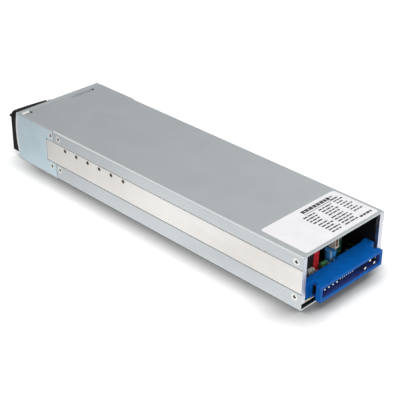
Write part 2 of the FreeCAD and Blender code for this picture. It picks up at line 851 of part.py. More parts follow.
def make_tab_screw(y):
    start = rail_inner_x - tab_thickness
    low = vec(start - tab_screw_head_height, y, hole_height)
    head = hexagon(tab_screw_head, low, X_AXIS, tab_screw_head_height)
    length = tab_thickness + tab_screw_reach
    return head.fuse(shank(hole_radius - fit, vec(start, y, hole_height), X_AXIS, length))


# Capacitors on the main board
bulk_radius = 13.5
bulk_side_gap = 0.8
bulk_headroom = 3.8
output_radius = 8.0
output_side_gap = 2.8
output_gap = 2.0
output_headroom = 4.8
blue_radius = 4.0
blue_height = 13.6
blue_board_gap = 0.4
blue_tail_gap = 0.4
red_width = 5.6
red_depth = 5.0
red_height = 21.0
red_blue_gap = 9.8
red_tail_gap = 2.9
line_width = 26.0
line_depth = 9.0
line_height = 19.0
line_side_gap = 1.8
moulding_edge = 0.6

# Wound ring chokes
choke_turns = 22
choke_side_gap = 2.3
wire_depth = 1.4
boost_x = -1.0
boost_outer = 19.0
boost_inner = 7.0
boost_height = 24.0
output_choke_outer = 14.0
output_choke_inner = 5.0
output_choke_height = 20.0
filter_outer = 11.2
filter_inner = 5.5
filter_height = 21.0

# Relay and fuse
relay_width = 20.0
relay_depth = 15.0
relay_height = 16.0
relay_side_gap = 9.3
fuse_radius = 3.0
fuse_length = 20.0
fuse_cap_length = 5.0
fuse_cap_wall = 0.3
fuse_lift = 1.2
fuse_side_gap = 0.8
clip_width = 5.0
clip_wall = 0.6

# Main transformer: a ferrite core with two windows, and the winding round its middle leg
core_x = 0.0
core_width = 42.0
core_depth = 16.0
core_headroom = 3.8
core_leg = 6.5
core_middle_leg = 13.0
core_yoke = 6.0
winding_gap = 0.3
winding_depth = 30.0
winding_round = 5.0

# Upright control board and what it carries
control_side_gap = 1.4
control_tail_gap = 0.4
control_headroom = 4.0
chip_count = 3
chip_length = 6.0
chip_height = 7.0
chip_pitch = 8.0
chip_gap = 1.0
chip_lift = 6.8
chip_thickness = 1.8
chip_edge = 0.45
header_depth = 3.8
header_length = 8.0
header_height = 9.0
header_lift = 14.8
header_rear_gap = 0.9
header_wall = 1.0
header_floor = 1.2
header_pins = 3
header_pin_size = 0.7

tail_front = ear_back - tail_gap - pin_size
bulk_x = rail_inner_x - case_thickness - bulk_side_gap - bulk_radius
bulk_height = inner_top - bulk_headroom - board_top
output_x = rail_inner_x - output_side_gap - output_radius
output_height = inner_top - output_headroom - board_top
line_x = line_side_gap + line_width / 2 - rail_inner_x
output_choke_x = choke_side_gap + output_choke_outer - rail_inner_x
filter_x = choke_side_gap + filter_outer - rail_inner_x
relay_x = rail_inner_x - relay_side_gap - relay_width / 2
clip_half = fuse_radius + fit + clip_wall
fuse_x = rail_inner_x - case_thickness - fuse_side_gap - clip_half
core_height = inner_top - core_headroom - board_top
control_x = filter_x + filter_outer + control_side_gap + board_thickness
control_rear = tail_front - control_tail_gap
control_top = inner_top - control_headroom
header_rear = control_rear - header_rear_gap
header_low = board_top + header_lift
blue_x = control_x + blue_board_gap + blue_radius
blue_y = tail_front - blue_tail_gap - blue_radius
red_x = blue_x + blue_radius + red_blue_gap + red_width / 2
red_y = tail_front - red_tail_gap - red_depth / 2


def row_depths():
    """Depth of each row of parts on the board, from the fan to the small parts behind the connector."""
    inner_cans = max(bulk_radius, output_choke_outer)
    first_outputs = max(filter_outer, output_radius)
    last_outputs = max(line_depth / 2, output_radius)
    relay_row = max(filter_outer, relay_depth / 2)
    halves = [boost_outer, winding_depth / 2, bulk_radius, inner_cans, first_outputs, last_outputs, relay_row]
    return [2 * half for half in halves]


def row_places():
    """Middle of each row: the rows share the spare length of the board evenly."""
    depths = row_depths()
    gap = (blue_y - blue_radius - board_front - sum(depths)) / (len(depths) + 1)
    places = []
    start = board_front + gap
    for depth in depths:
        places.append(start + depth / 2)
        start += depth + gap
    return places


boost_y, core_y, bulk_y, bulk_rear_y, filter_y, output_y, relay_y = row_places()
control_front = relay_y - row_depths()[-1] / 2


def bulk_places():
    return [(-bulk_x, bulk_y), (bulk_x, bulk_y), (bulk_x, bulk_rear_y)]


def output_places():
    columns = (output_x - 2 * output_radius - output_gap, output_x)
    return [(x, y) for y in (filter_y, output_y) for x in columns]


def filter_places():
    return [(filter_x, filter_y), (filter_x, relay_y)]


def can(x, y, radius, height):
    """Sleeved aluminium can of a capacitor, standing on the board."""
    return rod(radius, vec(x, y, board_top), Z_AXIS, height)


def toroid(x, y, outer, inner, height):
    """Wound ring choke lying on the board: its outline steps in between neighbouring turns of wire."""
    points = []
    for i in range(2 * choke_turns):
        turn = math.pi * i / choke_turns
        radius = outer if i % 2 else outer - wire_depth
        points.append(vec(x + radius * math.cos(turn), y + radius * math.sin(turn), board_top))
    eye = []
    for i in range(choke_turns):
        turn = 2 * math.pi * i / choke_turns
        eye.append(vec(x + inner * math.cos(turn), y + inner * math.sin(turn), board_top))
    return prism(points, vec(0, 0, height)).cut(prism(eye, vec(0, 0, height)))


def moulded_box(x, y, width, depth, height):
    """Box-shaped component standing on the board, with its moulded edges broken."""
    shape = block(x - width / 2, x + width / 2, y - depth / 2, y + depth / 2, board_top, board_top + height)
    edges = [e for e in shape.Edges if e.CenterOfMass.z > board_top + fit]
    return shape.makeChamfer(moulding_edge, edges)


def make_transformer_core():
    half = core_depth / 2
    outside = core_width / 2 - core_leg
    inside = core_middle_leg / 2
    low = board_top + core_yoke
    high = board_top + core_height - core_yoke
    core = block(core_x - core_width / 2, core_x + core_width / 2, core_y - half, core_y + half,
                 board_top, board_top + core_height)
    window = block(core_x + inside, core_x + outside, core_y - half, core_y + half, low, high)
    return core.cut([window, window.mirror(vec(core_x, 0, 0), X_AXIS)])


def make_transformer_winding():
    half = core_width / 2 - core_leg - winding_gap
    low = board_top + core_yoke + winding_gap
    high = board_top + core_height - core_yoke - winding_gap
    coil = rounded_block(core_x - half, core_x + half, core_y - winding_depth / 2, core_y + winding_depth / 2,
                         low, high, winding_round, Z_AXIS)
    leg = core_middle_leg / 2 + winding_gap
    depth = core_depth / 2 + winding_gap
    return coil.cut(block(core_x - leg, core_x + leg, core_y - depth, core_y + depth, low, high))


def fuse_point(y):
    return vec(fuse_x, y, board_top + fuse_lift + fuse_radius)


def make_fuse():
    """Ceramic tube with a metal cap on each end, lying beside the boost choke."""
    start = boost_y - fuse_length / 2
    pieces = [rod(fuse_radius - fuse_cap_wall, fuse_point(start), Y_AXIS, fuse_length)]
    for y in (start, start + fuse_length - fuse_cap_length):
        pieces.append(rod(fuse_radius, fuse_point(y), Y_AXIS, fuse_cap_length))
    return fuse(pieces)


def make_fuse_clips():
    """Spring clips that hold the fuse's caps from below and from both sides."""
    top = fuse_point(boost_y).z + fuse_radius / 2
    clips = []
    for side in (-1, 1):
        y0 = boost_y + side * (fuse_length - fuse_cap_length) / 2 - clip_width / 2
        body = block(fuse_x - clip_half, fuse_x + clip_half, y0, y0 + clip_width, board_top, top)
        clips.append(body.cut(rod(fuse_radius + fit, fuse_point(y0), Y_AXIS, clip_width)))
    return group(clips)


def make_control_board():
    return block(control_x - board_thickness, control_x, control_front, control_rear, board_top, control_top)


def make_control_chips():
    """Row of chips on the control board, in front of the header."""
    low = board_top + chip_lift
    chips = []
    for i in range(chip_count):
        end = header_rear - header_length - chip_gap - chip_pitch * i
        chip = block(control_x, control_x + chip_thickness, end - chip_length, end, low, low + chip_height)
        top = [e for e in chip.Edges if e.CenterOfMass.x > control_x + chip_thickness - fit]
        chips.append(chip.makeChamfer(chip_edge, top))
    return group(chips)


def header_box(shrink, floor):
    return block(control_x + floor, control_x + header_depth, header_rear - header_length + shrink,
                 header_rear - shrink, header_low + shrink, header_low + header_height - shrink)


def make_wafer_header():
    """Cream plug socket on the control board, open to the side."""
    return header_box(0, 0).cut(header_box(header_wall, header_floor))


def make_header_pins():
    step = header_length / (header_pins + 1)
    half = header_pin_size / 2
    z = header_low + header_height / 2
    pins = []
    for i in range(header_pins):
        y = header_rear - step * (i + 1)
        pins.append(block(control_x + header_floor, control_x + header_depth - header_wall, y - half, y + half,
                          z - half, z + half))
    return group(pins)


def main():
    os.makedirs("parts", exist_ok=True)
    rail = make_side_rail()
    transistors = [make_transistor(y) for y in transistor_places()]
    tab_screws = [make_tab_screw(y) for y in transistor_places()]
    save(make_top_cover(), "top_cover")
    save(make_bottom_cover(), "bottom_cover")
    save(rail, "side_rail_right")
    save(mirrored(rail), "side_rail_left")
    save(make_front_frame(), "front_frame")
    save(group(both_sides([countersunk_screw(y, z) for y, z in cover_screw_points()])), "cover_screws")
    save(group(both_sides([countersunk_screw(y, z) for y, z in tab_screw_points()])), "front_screws")
    save(make_fan_guard(), "fan_guard")
    save(make_fan_frame(), "fan_frame")
    save(make_fan_bearing(), "fan_bearing")
    save(make_fan_stator(), "fan_stator")
    save(make_fan_rotor(), "fan_rotor")
    save(make_fan_shaft(), "fan_shaft")
    save(make_fan_screws(), "fan_screws")
    save(make_hinge_bracket(), "hinge_bracket")
    save(make_hinge_pin(), "hinge_pin")
    save(make_pull_handle(), "pull_handle")
    save(make_status_lights(), "status_lights")
    save(make_main_board(), "main_board")
    save(make_insulating_sheet(), "insulating_sheet")
    save(make_board_spacers(), "board_spacers")
    save(make_board_screws(), "board_screws")
    save(make_rail_screws(), "rail_screws")
    save(make_connector_housing(), "connector_housing")
    save(make_signal_pins(), "signal_pins")
    save(make_inlet_pins(), "inlet_pins")
    save(make_power_blades(), "power_blades")
    save(make_connector_screws(), "connector_screws")
    save(group(transistors), "transistors_right")
    save(group([mirrored(t) for t in transistors]), "transistors_left")
    save(group(both_sides(tab_screws)), "transistor_screws")
    for i, (x, y) in enumerate(bulk_places()):
        save(can(x, y, bulk_radius, bulk_height), "bulk_capacitor_" + str(i + 1))
    for i, (x, y) in enumerate(output_places()):
        save(can(x, y, output_radius, output_height), "output_capacitor_" + str(i + 1))
    save(can(blue_x, blue_y, blue_radius, blue_height), "blue_capacitor")
    save(toroid(boost_x, boost_y, boost_outer, boost_inner, boost_height), "boost_choke")
    save(toroid(output_choke_x, bulk_rear_y, output_choke_outer, output_choke_inner, output_choke_height),
         "output_choke")
    for i, (x, y) in enumerate(filter_places()):
        save(toroid(x, y, filter_outer, filter_inner, filter_height), "filter_choke_" + str(i + 1))
    save(moulded_box(line_x, output_y, line_width, line_depth, line_height), "line_capacitor")
    save(moulded_box(red_x, red_y, red_width, red_depth, red_height), "red_capacitor")
    save(moulded_box(relay_x, relay_y, relay_width, relay_depth, relay_height), "relay")
    save(make_transformer_core(), "transformer_core")
    save(make_transformer_winding(), "transformer_winding")
    save(make_fuse(), "fuse")
    save(make_fuse_clips(), "fuse_clips")
    save(make_control_board(), "control_board")
    save(make_control_chips(), "control_chips")
    save(make_wafer_header(), "wafer_header")
    save(make_header_pins(), "header_pins")


main()
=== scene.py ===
"""Studio scene of a slim rack-mount power supply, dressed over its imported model.

Sizes whose names end in _mm, and the size fields of the classes, are millimetres. Blender works in metres.
"""
import logging
import math
import random
from dataclasses import dataclass, field
from enum import Enum
from typing import Optional, Sequence

import bmesh
import bpy
from mathutils import Matrix, Vector


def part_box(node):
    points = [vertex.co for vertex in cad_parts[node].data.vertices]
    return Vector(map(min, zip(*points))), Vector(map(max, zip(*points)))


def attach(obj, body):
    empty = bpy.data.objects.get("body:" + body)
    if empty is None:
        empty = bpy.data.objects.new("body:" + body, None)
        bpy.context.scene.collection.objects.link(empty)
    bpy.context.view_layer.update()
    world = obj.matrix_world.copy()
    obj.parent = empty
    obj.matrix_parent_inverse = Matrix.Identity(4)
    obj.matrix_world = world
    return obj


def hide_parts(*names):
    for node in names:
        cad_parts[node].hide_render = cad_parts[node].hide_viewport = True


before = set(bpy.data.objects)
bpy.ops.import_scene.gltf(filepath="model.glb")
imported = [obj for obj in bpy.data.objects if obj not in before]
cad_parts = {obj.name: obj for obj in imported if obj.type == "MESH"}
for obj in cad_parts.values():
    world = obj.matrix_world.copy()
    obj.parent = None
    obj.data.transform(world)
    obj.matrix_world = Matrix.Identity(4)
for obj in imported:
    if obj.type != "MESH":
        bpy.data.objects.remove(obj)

LOG = logging.getLogger("power_supply")
MM = 0.001
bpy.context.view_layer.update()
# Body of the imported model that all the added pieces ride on.
CASE_BODY = "case"
Colour = tuple[float, float, float, float]
Point = tuple[float, float, float]
Span = tuple[float, float]
Area = tuple[Span, Span]
# Settings that many nodes share.
RGBA = {"data_type": "RGBA"}
SMOOTH = {"interpolation_type": "SMOOTHSTEP"}
# Sockets of a mix node, which can't be told apart by name: its share, its two colours and their mixture.
SHARE, FIRST, SECOND, MIXED = 0, 6, 7, 2
# The same node's two numbers.
FIRST_NUMBER, SECOND_NUMBER = 2, 3
NOISE_DETAIL = 3.0
# Values of the noise between which the roughness runs from least to most, and one colour gives way to the next.
GRAIN_SPAN = (0.3, 0.7)
CLOUD_SPAN = (0.35, 0.65)
# Cosines between the eased and the flat normal at which the edge colour, partly rubbing and partly a painted highlight,
# starts and is full.
EDGE_SPAN = (0.99, 0.8)
EDGE_SAMPLES = 4


class Axis(Enum):
    """Directions that a turned piece can face along."""

    X = Vector((1.0, 0.0, 0.0))
    MINUS_X = Vector((-1.0, 0.0, 0.0))
    Y = Vector((0.0, 1.0, 0.0))
    MINUS_Y = Vector((0.0, -1.0, 0.0))
    Z = Vector((0.0, 0.0, 1.0))


class Ends(Enum):
    """What becomes of the first and the last ring of a loft."""

    CLOSED = "both are closed"
    LAST_CLOSED = "only the last is closed"
    JOINED = "the last is joined to the first"


def linear(hex_colour: str) -> Colour:
    """Turn an sRGB hex colour into linear light.

    Args:
        hex_colour: colour written as "#RRGGBB".

    Returns:
        Red, green and blue in linear light, and an alpha of one.
    """
    channels = [int(hex_colour[i:i + 2], 16) / 255 for i in (1, 3, 5)]
    lit = [c / 12.92 if c <= 0.04045 else ((c + 0.055) / 1.055) ** 2.4 for c in channels]
    return (lit[0], lit[1], lit[2], 1.0)


def add_node(tree: bpy.types.NodeTree, kind: str, settings: Optional[dict] = None,
             inputs: Optional[dict] = None) -> bpy.types.Node:
    """Add a node to a tree, with its settings and its inputs.

    Args:
        tree: node tree of a material or of the world.
        kind: Blender's name for the type of node, after its "ShaderNode".
        settings: properties of the node by name.
        inputs: numbers to set, sockets to link from, or nodes to link from by their first output in use, by the
            input's name or index.

    Returns:
        The new node.
    """
    node = tree.nodes.new("ShaderNode" + kind)
    for name, value in (settings or {}).items():
        setattr(node, name, value)
    for key, value in (inputs or {}).items():
        if isinstance(value, bpy.types.Node):
            value = next(socket for socket in value.outputs if socket.enabled)
        if isinstance(value, bpy.types.NodeSocket):
            tree.links.new(value, node.inputs[key])
        else:
            node.inputs[key].default_value = value
    return node


def empty_tree(owner: bpy.types.ID) -> bpy.types.NodeTree:
    """Give a material or a world a node tree with nothing in it.

    Args:
        owner: the material or the world.

    Returns:
        Its node tree.
    """
    owner.use_nodes = True
    owner.node_tree.nodes.clear()
    return owner.node_tree


@dataclass
class Surface:
    """Sockets that a finish paints with while its material is made.

    Attributes:
        tree: the material's node tree.
        shader: its principled shader.
        place: position on the object in metres, in the model's own frame.
        flat: normal of the face.
        eased: normal with the sharp edges rounded off.
        edge: strength of the edge colour, partly rubbing and partly a painted highlight; most on an outer edge and
            nought beside it.
    """

    tree: bpy.types.NodeTree
    shader: bpy.types.Node
    place: bpy.types.NodeSocket
    flat: bpy.types.NodeSocket
    eased: bpy.types.NodeSocket
    edge: bpy.types.NodeSocket

    def sweep(self, centre_mm: Point) -> bpy.types.NodeSocket:
        """Measure the turn round an upright axis.

        Args:
            centre_mm: a point on the axis.

        Returns:
            Share of a full turn.
        """
        centre = tuple(c * MM for c in centre_mm)
        local = add_node(self.tree, "VectorMath", {"operation": "SUBTRACT"}, {0: self.place, 1: centre})
        turn = add_node(self.tree, "TexGradient", {"gradient_type": "RADIAL"}, {0: local})
        return turn.outputs[1]


@dataclass(frozen=True)
class Finish:
    """A surface with grain, slow changes of shade and edges that are lighter, partly rubbed and partly a painted
    highlight.

    Attributes:
        name: name of the material, after what it is and how its surface was made.
        colour: main colour as sRGB hex.
        shade: second colour, in clouds over the first.
        edge_rub_and_highlight: colour along edges, partly where they are rubbed and partly a painted highlight.
        roughness: middle roughness.
        spread: how far the roughness strays to either side.
        metallic: one for bare metal, nought for anything else.
        grain_mm: size of the grain along X, Y and Z.
        relief_mm: height of the grain.
        cloud_mm: size of the clouds of the second colour.
        edge_mm: width over which edges are rounded and take the edge colour.
        edge_rub_and_highlight_strength: how strongly the edges change colour, by rubbing and by a painted highlight.
        specular: strength of the white sheen on anything but metal.
    """

    name: str
    colour: str
    shade: str
    edge_rub_and_highlight: str
    roughness: float
    spread: float = 0.08
    metallic: float = 0.0
    grain_mm: Point = (0.6, 0.6, 0.6)
    relief_mm: float = 0.01
    cloud_mm: float = 14.0
    edge_mm: float = 0.35
    edge_rub_and_highlight_strength: float = 0.5
    specular: float = 0.5

    def material(self) -> bpy.types.Material:
        """Make the material, or find it if it was made before.

        Returns:
            The finished material.
        """
        found = bpy.data.materials.get(self.name)
        if found is not None:
            return found
        made = bpy.data.materials.new(self.name)
        tree = empty_tree(made)
        shader = add_node(tree, "BsdfPrincipled", None,
                          {"Metallic": self.metallic, "Specular IOR Level": self.specular})
        add_node(tree, "OutputMaterial", None, {"Surface": shader})
        place = add_node(tree, "TexCoord").outputs["Object"]
        flat = add_node(tree, "NewGeometry").outputs["Normal"]
        eased = add_node(tree, "Bevel", {"samples": EDGE_SAMPLES}, {"Radius": self.edge_mm * MM}).outputs[0]
        facing = add_node(tree, "VectorMath", {"operation": "DOT_PRODUCT"}, {0: eased, 1: flat})
        edge = add_node(tree, "MapRange", None,
                        {"Value": facing, "From Min": EDGE_SPAN[0], "From Max": EDGE_SPAN[1], "To Max": self.edge_rub_and_highlight_strength})
        self.paint(Surface(tree, shader, place, flat, eased, edge.outputs["Result"]))
        return made

    def paint(self, on: Surface) -> None:
        """Join the colour, the roughness and the relief to the shader.

        Args:
            on: sockets of the material that is being made.
        """
        tree = on.tree
        height = self.grain(on)
        rough = add_node(tree, "MapRange", None,
                         {"Value": height, "From Min": GRAIN_SPAN[0], "From Max": GRAIN_SPAN[1],
                          "To Min": self.roughness - self.spread, "To Max": self.roughness + self.spread})
        tree.links.new(rough.outputs["Result"], on.shader.inputs["Roughness"])
        tree.links.new(self.tint(on), on.shader.inputs["Base Color"])
        relief = add_node(tree, "Bump", None, {"Distance": self.relief_mm * MM, "Height": height, "Normal": on.eased})
        tree.links.new(relief.outputs["Normal"], on.shader.inputs["Normal"])

    def grain(self, on: Surface) -> bpy.types.NodeSocket:
        """Draw the grain.

        Args:
            on: sockets of the material that is being made.

        Returns:
            Height of the grain, about a half in the middle.
        """
        per_metre = tuple(1 / (size * MM) for size in self.grain_mm)
        scaled = add_node(on.tree, "VectorMath", {"operation": "MULTIPLY"}, {0: on.place, 1: per_metre})
        noise = add_node(on.tree, "TexNoise", None, {"Vector": scaled, "Scale": 1.0, "Detail": NOISE_DETAIL})
        return noise.outputs[0]

    def tint(self, on: Surface) -> bpy.types.NodeSocket:
        """Cloud the two colours together and lighten the edges, partly as rubbing and partly as a painted highlight.

        Args:
            on: sockets of the material that is being made.

        Returns:
            The colour all over the surface.
        """
        clouds = add_node(on.tree, "TexNoise", None,
                          {"Vector": on.place, "Scale": 1 / (self.cloud_mm * MM), "Detail": NOISE_DETAIL})
        share = add_node(on.tree, "MapRange", None,
                         {"Value": clouds, "From Min": CLOUD_SPAN[0], "From Max": CLOUD_SPAN[1]})
        clouded = add_node(on.tree, "Mix", RGBA, {SHARE: share, FIRST: linear(self.colour), SECOND: linear(self.shade)})
        # Lighter edges: partly rubbed, partly a painted highlight.
        edge_rub_and_highlight = add_node(on.tree, "Mix", RGBA, {SHARE: on.edge, FIRST: clouded, SECOND: linear(self.edge_rub_and_highlight)})
        return edge_rub_and_highlight.outputs[MIXED]


@dataclass(frozen=True)
class SawnBar(Finish):
    """Drawn bar with sawn ends drawn darker and bluer than its sides: partly their duller sawn face, partly painted
    shade.

    Attributes:
        end: colour of the sawn ends, partly their own duller tone and partly painted shade.
        square: how squarely a face has to look along the bar to be an end.
    """

    end: str = "#D8DAE3"
    square: float = 0.9

    def tint(self, on: Surface) -> bpy.types.NodeSocket:
        """Colour the ends and the sides apart, the ends partly in painted shade.

        Args:
            on: sockets of the material that is being made.

        Returns:
            The colour all over the bar.
        """
        apart = add_node(on.tree, "SeparateXYZ", None, {0: on.flat})
        along = add_node(on.tree, "Math", {"operation": "ABSOLUTE"}, {0: apart.outputs[1]})
        sawn = add_node(on.tree, "Math", {"operation": "GREATER_THAN"}, {0: along, 1: self.square})
        joined = add_node(on.tree, "Mix", RGBA, {SHARE: sawn, FIRST: super().tint(on), SECOND: linear(self.end)})
        return joined.outputs[MIXED]


# The real grain of mouldings, plating and ground faces is 0.02 to 0.1 mm. That is too fine to show where a pixel is
# about 0.85 mm, so it is drawn at 0.3 to 1.6 mm in the finishes from here on.

# Drawn aluminium bar with a matt etch: near white, with fine draw lines along its length and sawn ends drawn darker and
# bluer, partly as painted shade.
DRAWN_ALUMINIUM = SawnBar("aluminium_bar_drawn", "#EDEBE8", "#E6E3DF", "#FBFBFB", 0.44, 0.06, 1.0,
                          (0.7, 40.0, 0.7), 0.006, 30.0, 0.4, 0.5)
# Nickel-plated steel, turned and tumbled: bright with soft reflections.
NICKEL_SCREW = Finish("nickel_plated_steel_tumbled", "#EDEDEB", "#E2E2E0", "#FAFAF9", 0.26, 0.06, 1.0,
                      (0.4, 0.4, 0.4), 0.004, 3.0, 0.15, 0.4)
# Blue glass-filled polyester from a polished mould: saturated, with a soft sheen and faint flow clouds.
BLUE_POLYESTER = Finish("polyester_blue_moulded", "#0A60B3", "#0859A8", "#3777BB", 0.42, 0.07, 0.0,
                        (0.5, 0.5, 0.5), 0.006, 9.0, 0.35, 0.3, 0.08)
# Black nylon from a spark-eroded mould: almost black, with a fine grain that spreads the light.
BLACK_NYLON = Finish("nylon_black_spark_grained", "#09090B", "#0D0D0F", "#222327", 0.46, 0.09, 0.0,
                     (0.35, 0.35, 0.35), 0.02, 7.0, 0.5, 0.4, 0.15)
# Black polyester of fan mouldings: smoother than the pull, with a dull shine on the blades.
BLACK_POLYESTER = Finish("polyester_black_moulded", "#151517", "#1A1A1D", "#34363A", 0.34, 0.06, 0.0,
                         (0.5, 0.5, 0.5), 0.008, 9.0, 0.3, 0.4)
# Black epoxy of chips, relays and transistors: matt and faintly speckled by its filler.
BLACK_EPOXY = Finish("epoxy_black_transfer_moulded", "#1B1B1D", "#222224", "#3A3A3C", 0.58, 0.08, 0.0,
                     (0.3, 0.3, 0.3), 0.012, 3.0, 0.2, 0.4)
# Black polyester film: thin, smooth and slightly wavy, with a plastic shine.
BLACK_FILM = Finish("polyester_film_black_calendered", "#19191C", "#1E1E21", "#303034", 0.28, 0.05, 0.0,
                    (6.0, 9.0, 6.0), 0.03, 20.0, 0.1, 0.3)
# Cream nylon of plug sockets: translucent-looking and satin.
CREAM_NYLON = Finish("nylon_cream_moulded", "#F6EBD6", "#EFE2C9", "#FBF7EA", 0.42, 0.06, 0.0,
                     (0.6, 0.6, 0.6), 0.006, 4.0, 0.25, 0.4)
# Red epoxy powder, dipped and cured: rounded, glossy and a little uneven.
RED_DIP = Finish("epoxy_red_dipped", "#E5333C", "#D02A34", "#EE7F85", 0.30, 0.08, 0.0,
                 (1.6, 1.6, 1.6), 0.06, 4.0, 0.6, 0.35)
# Yellow polyester tape and cases of film capacitors: smooth, warm and slightly glossy.
YELLOW_TAPE = Finish("polyester_yellow_tape_wound", "#CDAF3F", "#C2A234", "#E3CB74", 0.38, 0.07, 0.0,
                     (4.0, 4.0, 0.5), 0.02, 10.0, 0.3, 0.4)
# Manganese-zinc ferrite, pressed, fired and ground: dark grey with a dry, fine grain.
FERRITE = Finish("ferrite_fired_ground", "#2E2E31", "#26262A", "#4B4B50", 0.62, 0.08, 0.0,
                 (0.35, 0.35, 0.35), 0.02, 6.0, 0.3, 0.5)
# Steatite tube of the fuse: fired white with a soft glaze.
CERAMIC = Finish("steatite_white_glazed", "#E6E3DB", "#DDD9CF", "#F4F2EC", 0.32, 0.06, 0.0,
                 (0.8, 0.8, 0.8), 0.008, 6.0, 0.2, 0.3)
# Tin over brass: pale warm metal with a soft bloom, on pins, clips and spacers.
TINNED_BRASS = Finish("brass_tin_plated", "#ECE8DC", "#E2DBC8", "#F8F6EF", 0.26, 0.07, 1.0,
                      (0.4, 0.4, 0.4), 0.004, 3.0, 0.15, 0.4)
# Dark navy that paints the shade inside the connector's mouth: nearly black, with a faint violet cast.
NAVY_MOUTH_SHADE = Finish("navy_mouth_shade_painted", "#29468A", "#363F80", "#45589E", 0.44, 0.07, 0.0,
                        (0.5, 0.5, 0.5), 0.006, 5.0, 0.2, 0.3)
# Green epoxy dip of small chokes and film capacitors: rounded and glossy.
GREEN_DIP = Finish("epoxy_green_dipped", "#63B072", "#559F64", "#A9D2B0", 0.30, 0.08, 0.0,
                   (1.2, 1.2, 1.2), 0.03, 3.0, 0.4, 0.35)
# Polyester label foil, white coated: even and nearly matt.
LABEL_FOIL = Finish("polyester_foil_white_coated", "#E4E3E6", "#DFDEE2", "#F2F2F4", 0.46, 0.05, 0.0,
                    (0.8, 0.8, 0.8), 0.003, 12.0, 0.1, 0.3)
# Thermal-transfer ribbon ink: dark grey, slightly broken where the foil shows through.
LABEL_INK = Finish("ribbon_ink_black_printed", "#29292C", "#3A3A3E", "#6A6A6E", 0.40, 0.06, 0.0,
                   (0.4, 0.4, 0.4), 0.002, 1.2, 0.05, 0.3)
# Oiled steel of the inserts pressed into the rails: brownish grey, duller than the bar.
OILED_STEEL = Finish("steel_press_insert_oiled", "#C6BCB6", "#B8ADA6", "#DAD4CF", 0.44, 0.08, 1.0,
                     (0.6, 0.6, 0.6), 0.006, 5.0, 0.2, 0.5)
# Brown phenolic of small mouldings: matt, woody brown.
PHENOLIC = Finish("phenolic_brown_moulded", "#6B4A33", "#5C3E2A", "#8A6A50", 0.50, 0.06, 0.0,
                  (0.6, 0.6, 0.6), 0.01, 5.0, 0.2, 0.3)
# Sintered bronze of the fan's sleeve: dull yellow-brown metal with open pores.
SINTERED_BRONZE = Finish("bronze_sintered", "#A8834A", "#96723D", "#C6A36A", 0.46, 0.09, 1.0,
                         (0.3, 0.3, 0.3), 0.01, 3.0, 0.15, 0.4)


@dataclass(frozen=True)
class FoldedSheet(Finish):
    """Sheet whose bends along the case carry a painted highlight.

    Attributes:
        bend_highlight: colour of the painted highlight on the bends.
        bend: products of the normal's X and Z between which a bend takes that colour.
    """

    bend_highlight: str = "#F0F4F5"
    bend: Span = (0.2, 0.48)

    def tint(self, on: Surface) -> bpy.types.NodeSocket:
        """Brighten the bends with a painted highlight.

        Args:
            on: sockets of the material that is being made.

        Returns:
            The colour all over the sheet.
        """
        apart = add_node(on.tree, "SeparateXYZ", None, {0: on.flat})
        turn = add_node(on.tree, "Math", {"operation": "MULTIPLY"}, {0: apart.outputs["X"], 1: apart.outputs["Z"]})
        size = add_node(on.tree, "Math", {"operation": "ABSOLUTE"}, {0: turn})
        share = add_node(on.tree, "MapRange", None, {"Value": size, "From Min": self.bend[0], "From Max": self.bend[1]})
        # Painted highlight on the bends.
        bright = add_node(on.tree, "Mix", RGBA, {SHARE: share, FIRST: super().tint(on), SECOND: linear(self.bend_highlight)})
        return bright.outputs[MIXED]


@dataclass(frozen=True)
class PlatedWings(Finish):
    """Front frame: plated wings welded to a panel of plain galvanised sheet, with a painted highlight along the wings'
    bowed front edges.

    Attributes:
        between: colour of the panel between the wings.
        half_mm: half the width of that panel.
        bare: colour of the painted highlight along the wings' front edges.
        edge_highlight_mm: width of that highlight.
        highlight_core: share of its width at which it is full.
        crest_mm: where the bowed edge reaches furthest forward, along the case and in height.
        bow_mm: how far the edge is bowed and half the height over which it is.
        bow_end: squared shares of that half height between which the bright edge ends.
    """

    between: str = "#CBD0D3"
    half_mm: float = 41.45
    bare: str = "#FCFCFE"
    edge_highlight_mm: float = 2.6
    highlight_core: float = 0.7
    crest_mm: Span = (-152.1, 22.75)
    bow_mm: Span = (2.1, 17.25)
    bow_end: Span = (1.0, 0.75)

    def tint(self, on: Surface) -> bpy.types.NodeSocket:
        """Colour the wings and the panel apart, with a painted highlight along the wings' front edges.

        Args:
            on: sockets of the material that is being made.

        Returns:
            The colour all over the frame.
        """
        apart = add_node(on.tree, "SeparateXYZ", None, {0: on.place})
        out = add_node(on.tree, "Math", {"operation": "ABSOLUTE"}, {0: apart.outputs[0]})
        wing = add_node(on.tree, "Math", {"operation": "GREATER_THAN"}, {0: out, 1: self.half_mm * MM})
        rise, span = self.bow_mm
        up = add_node(on.tree, "Math", {"operation": "MULTIPLY_ADD"},
                      {0: apart.outputs[2], 1: 1 / (span * MM), 2: -self.crest_mm[1] / span})
        square = add_node(on.tree, "Math", {"operation": "MULTIPLY"}, {0: up, 1: up})
        edge = add_node(on.tree, "Math", {"operation": "MULTIPLY_ADD"},
                        {0: square, 1: rise * MM, 2: self.crest_mm[0] * MM})
        behind = add_node(on.tree, "Math", {"operation": "SUBTRACT"}, {0: apart.outputs[1], 1: edge})
        share = add_node(on.tree, "MapRange", None,
                         {"Value": behind, "From Min": self.edge_highlight_mm * MM, "From Max": self.edge_highlight_mm * MM * self.highlight_core})
        within = add_node(on.tree, "MapRange", None,
                          {"Value": square, "From Min": self.bow_end[0], "From Max": self.bow_end[1], "To Max": share})
        # Painted highlight along the wings' bowed front edges.
        edged = add_node(on.tree, "Mix", RGBA, {SHARE: within, FIRST: super().tint(on), SECOND: linear(self.bare)})
        joined = add_node(on.tree, "Mix", RGBA, {SHARE: wing, FIRST: linear(self.between), SECOND: edged})
        return joined.outputs[MIXED]


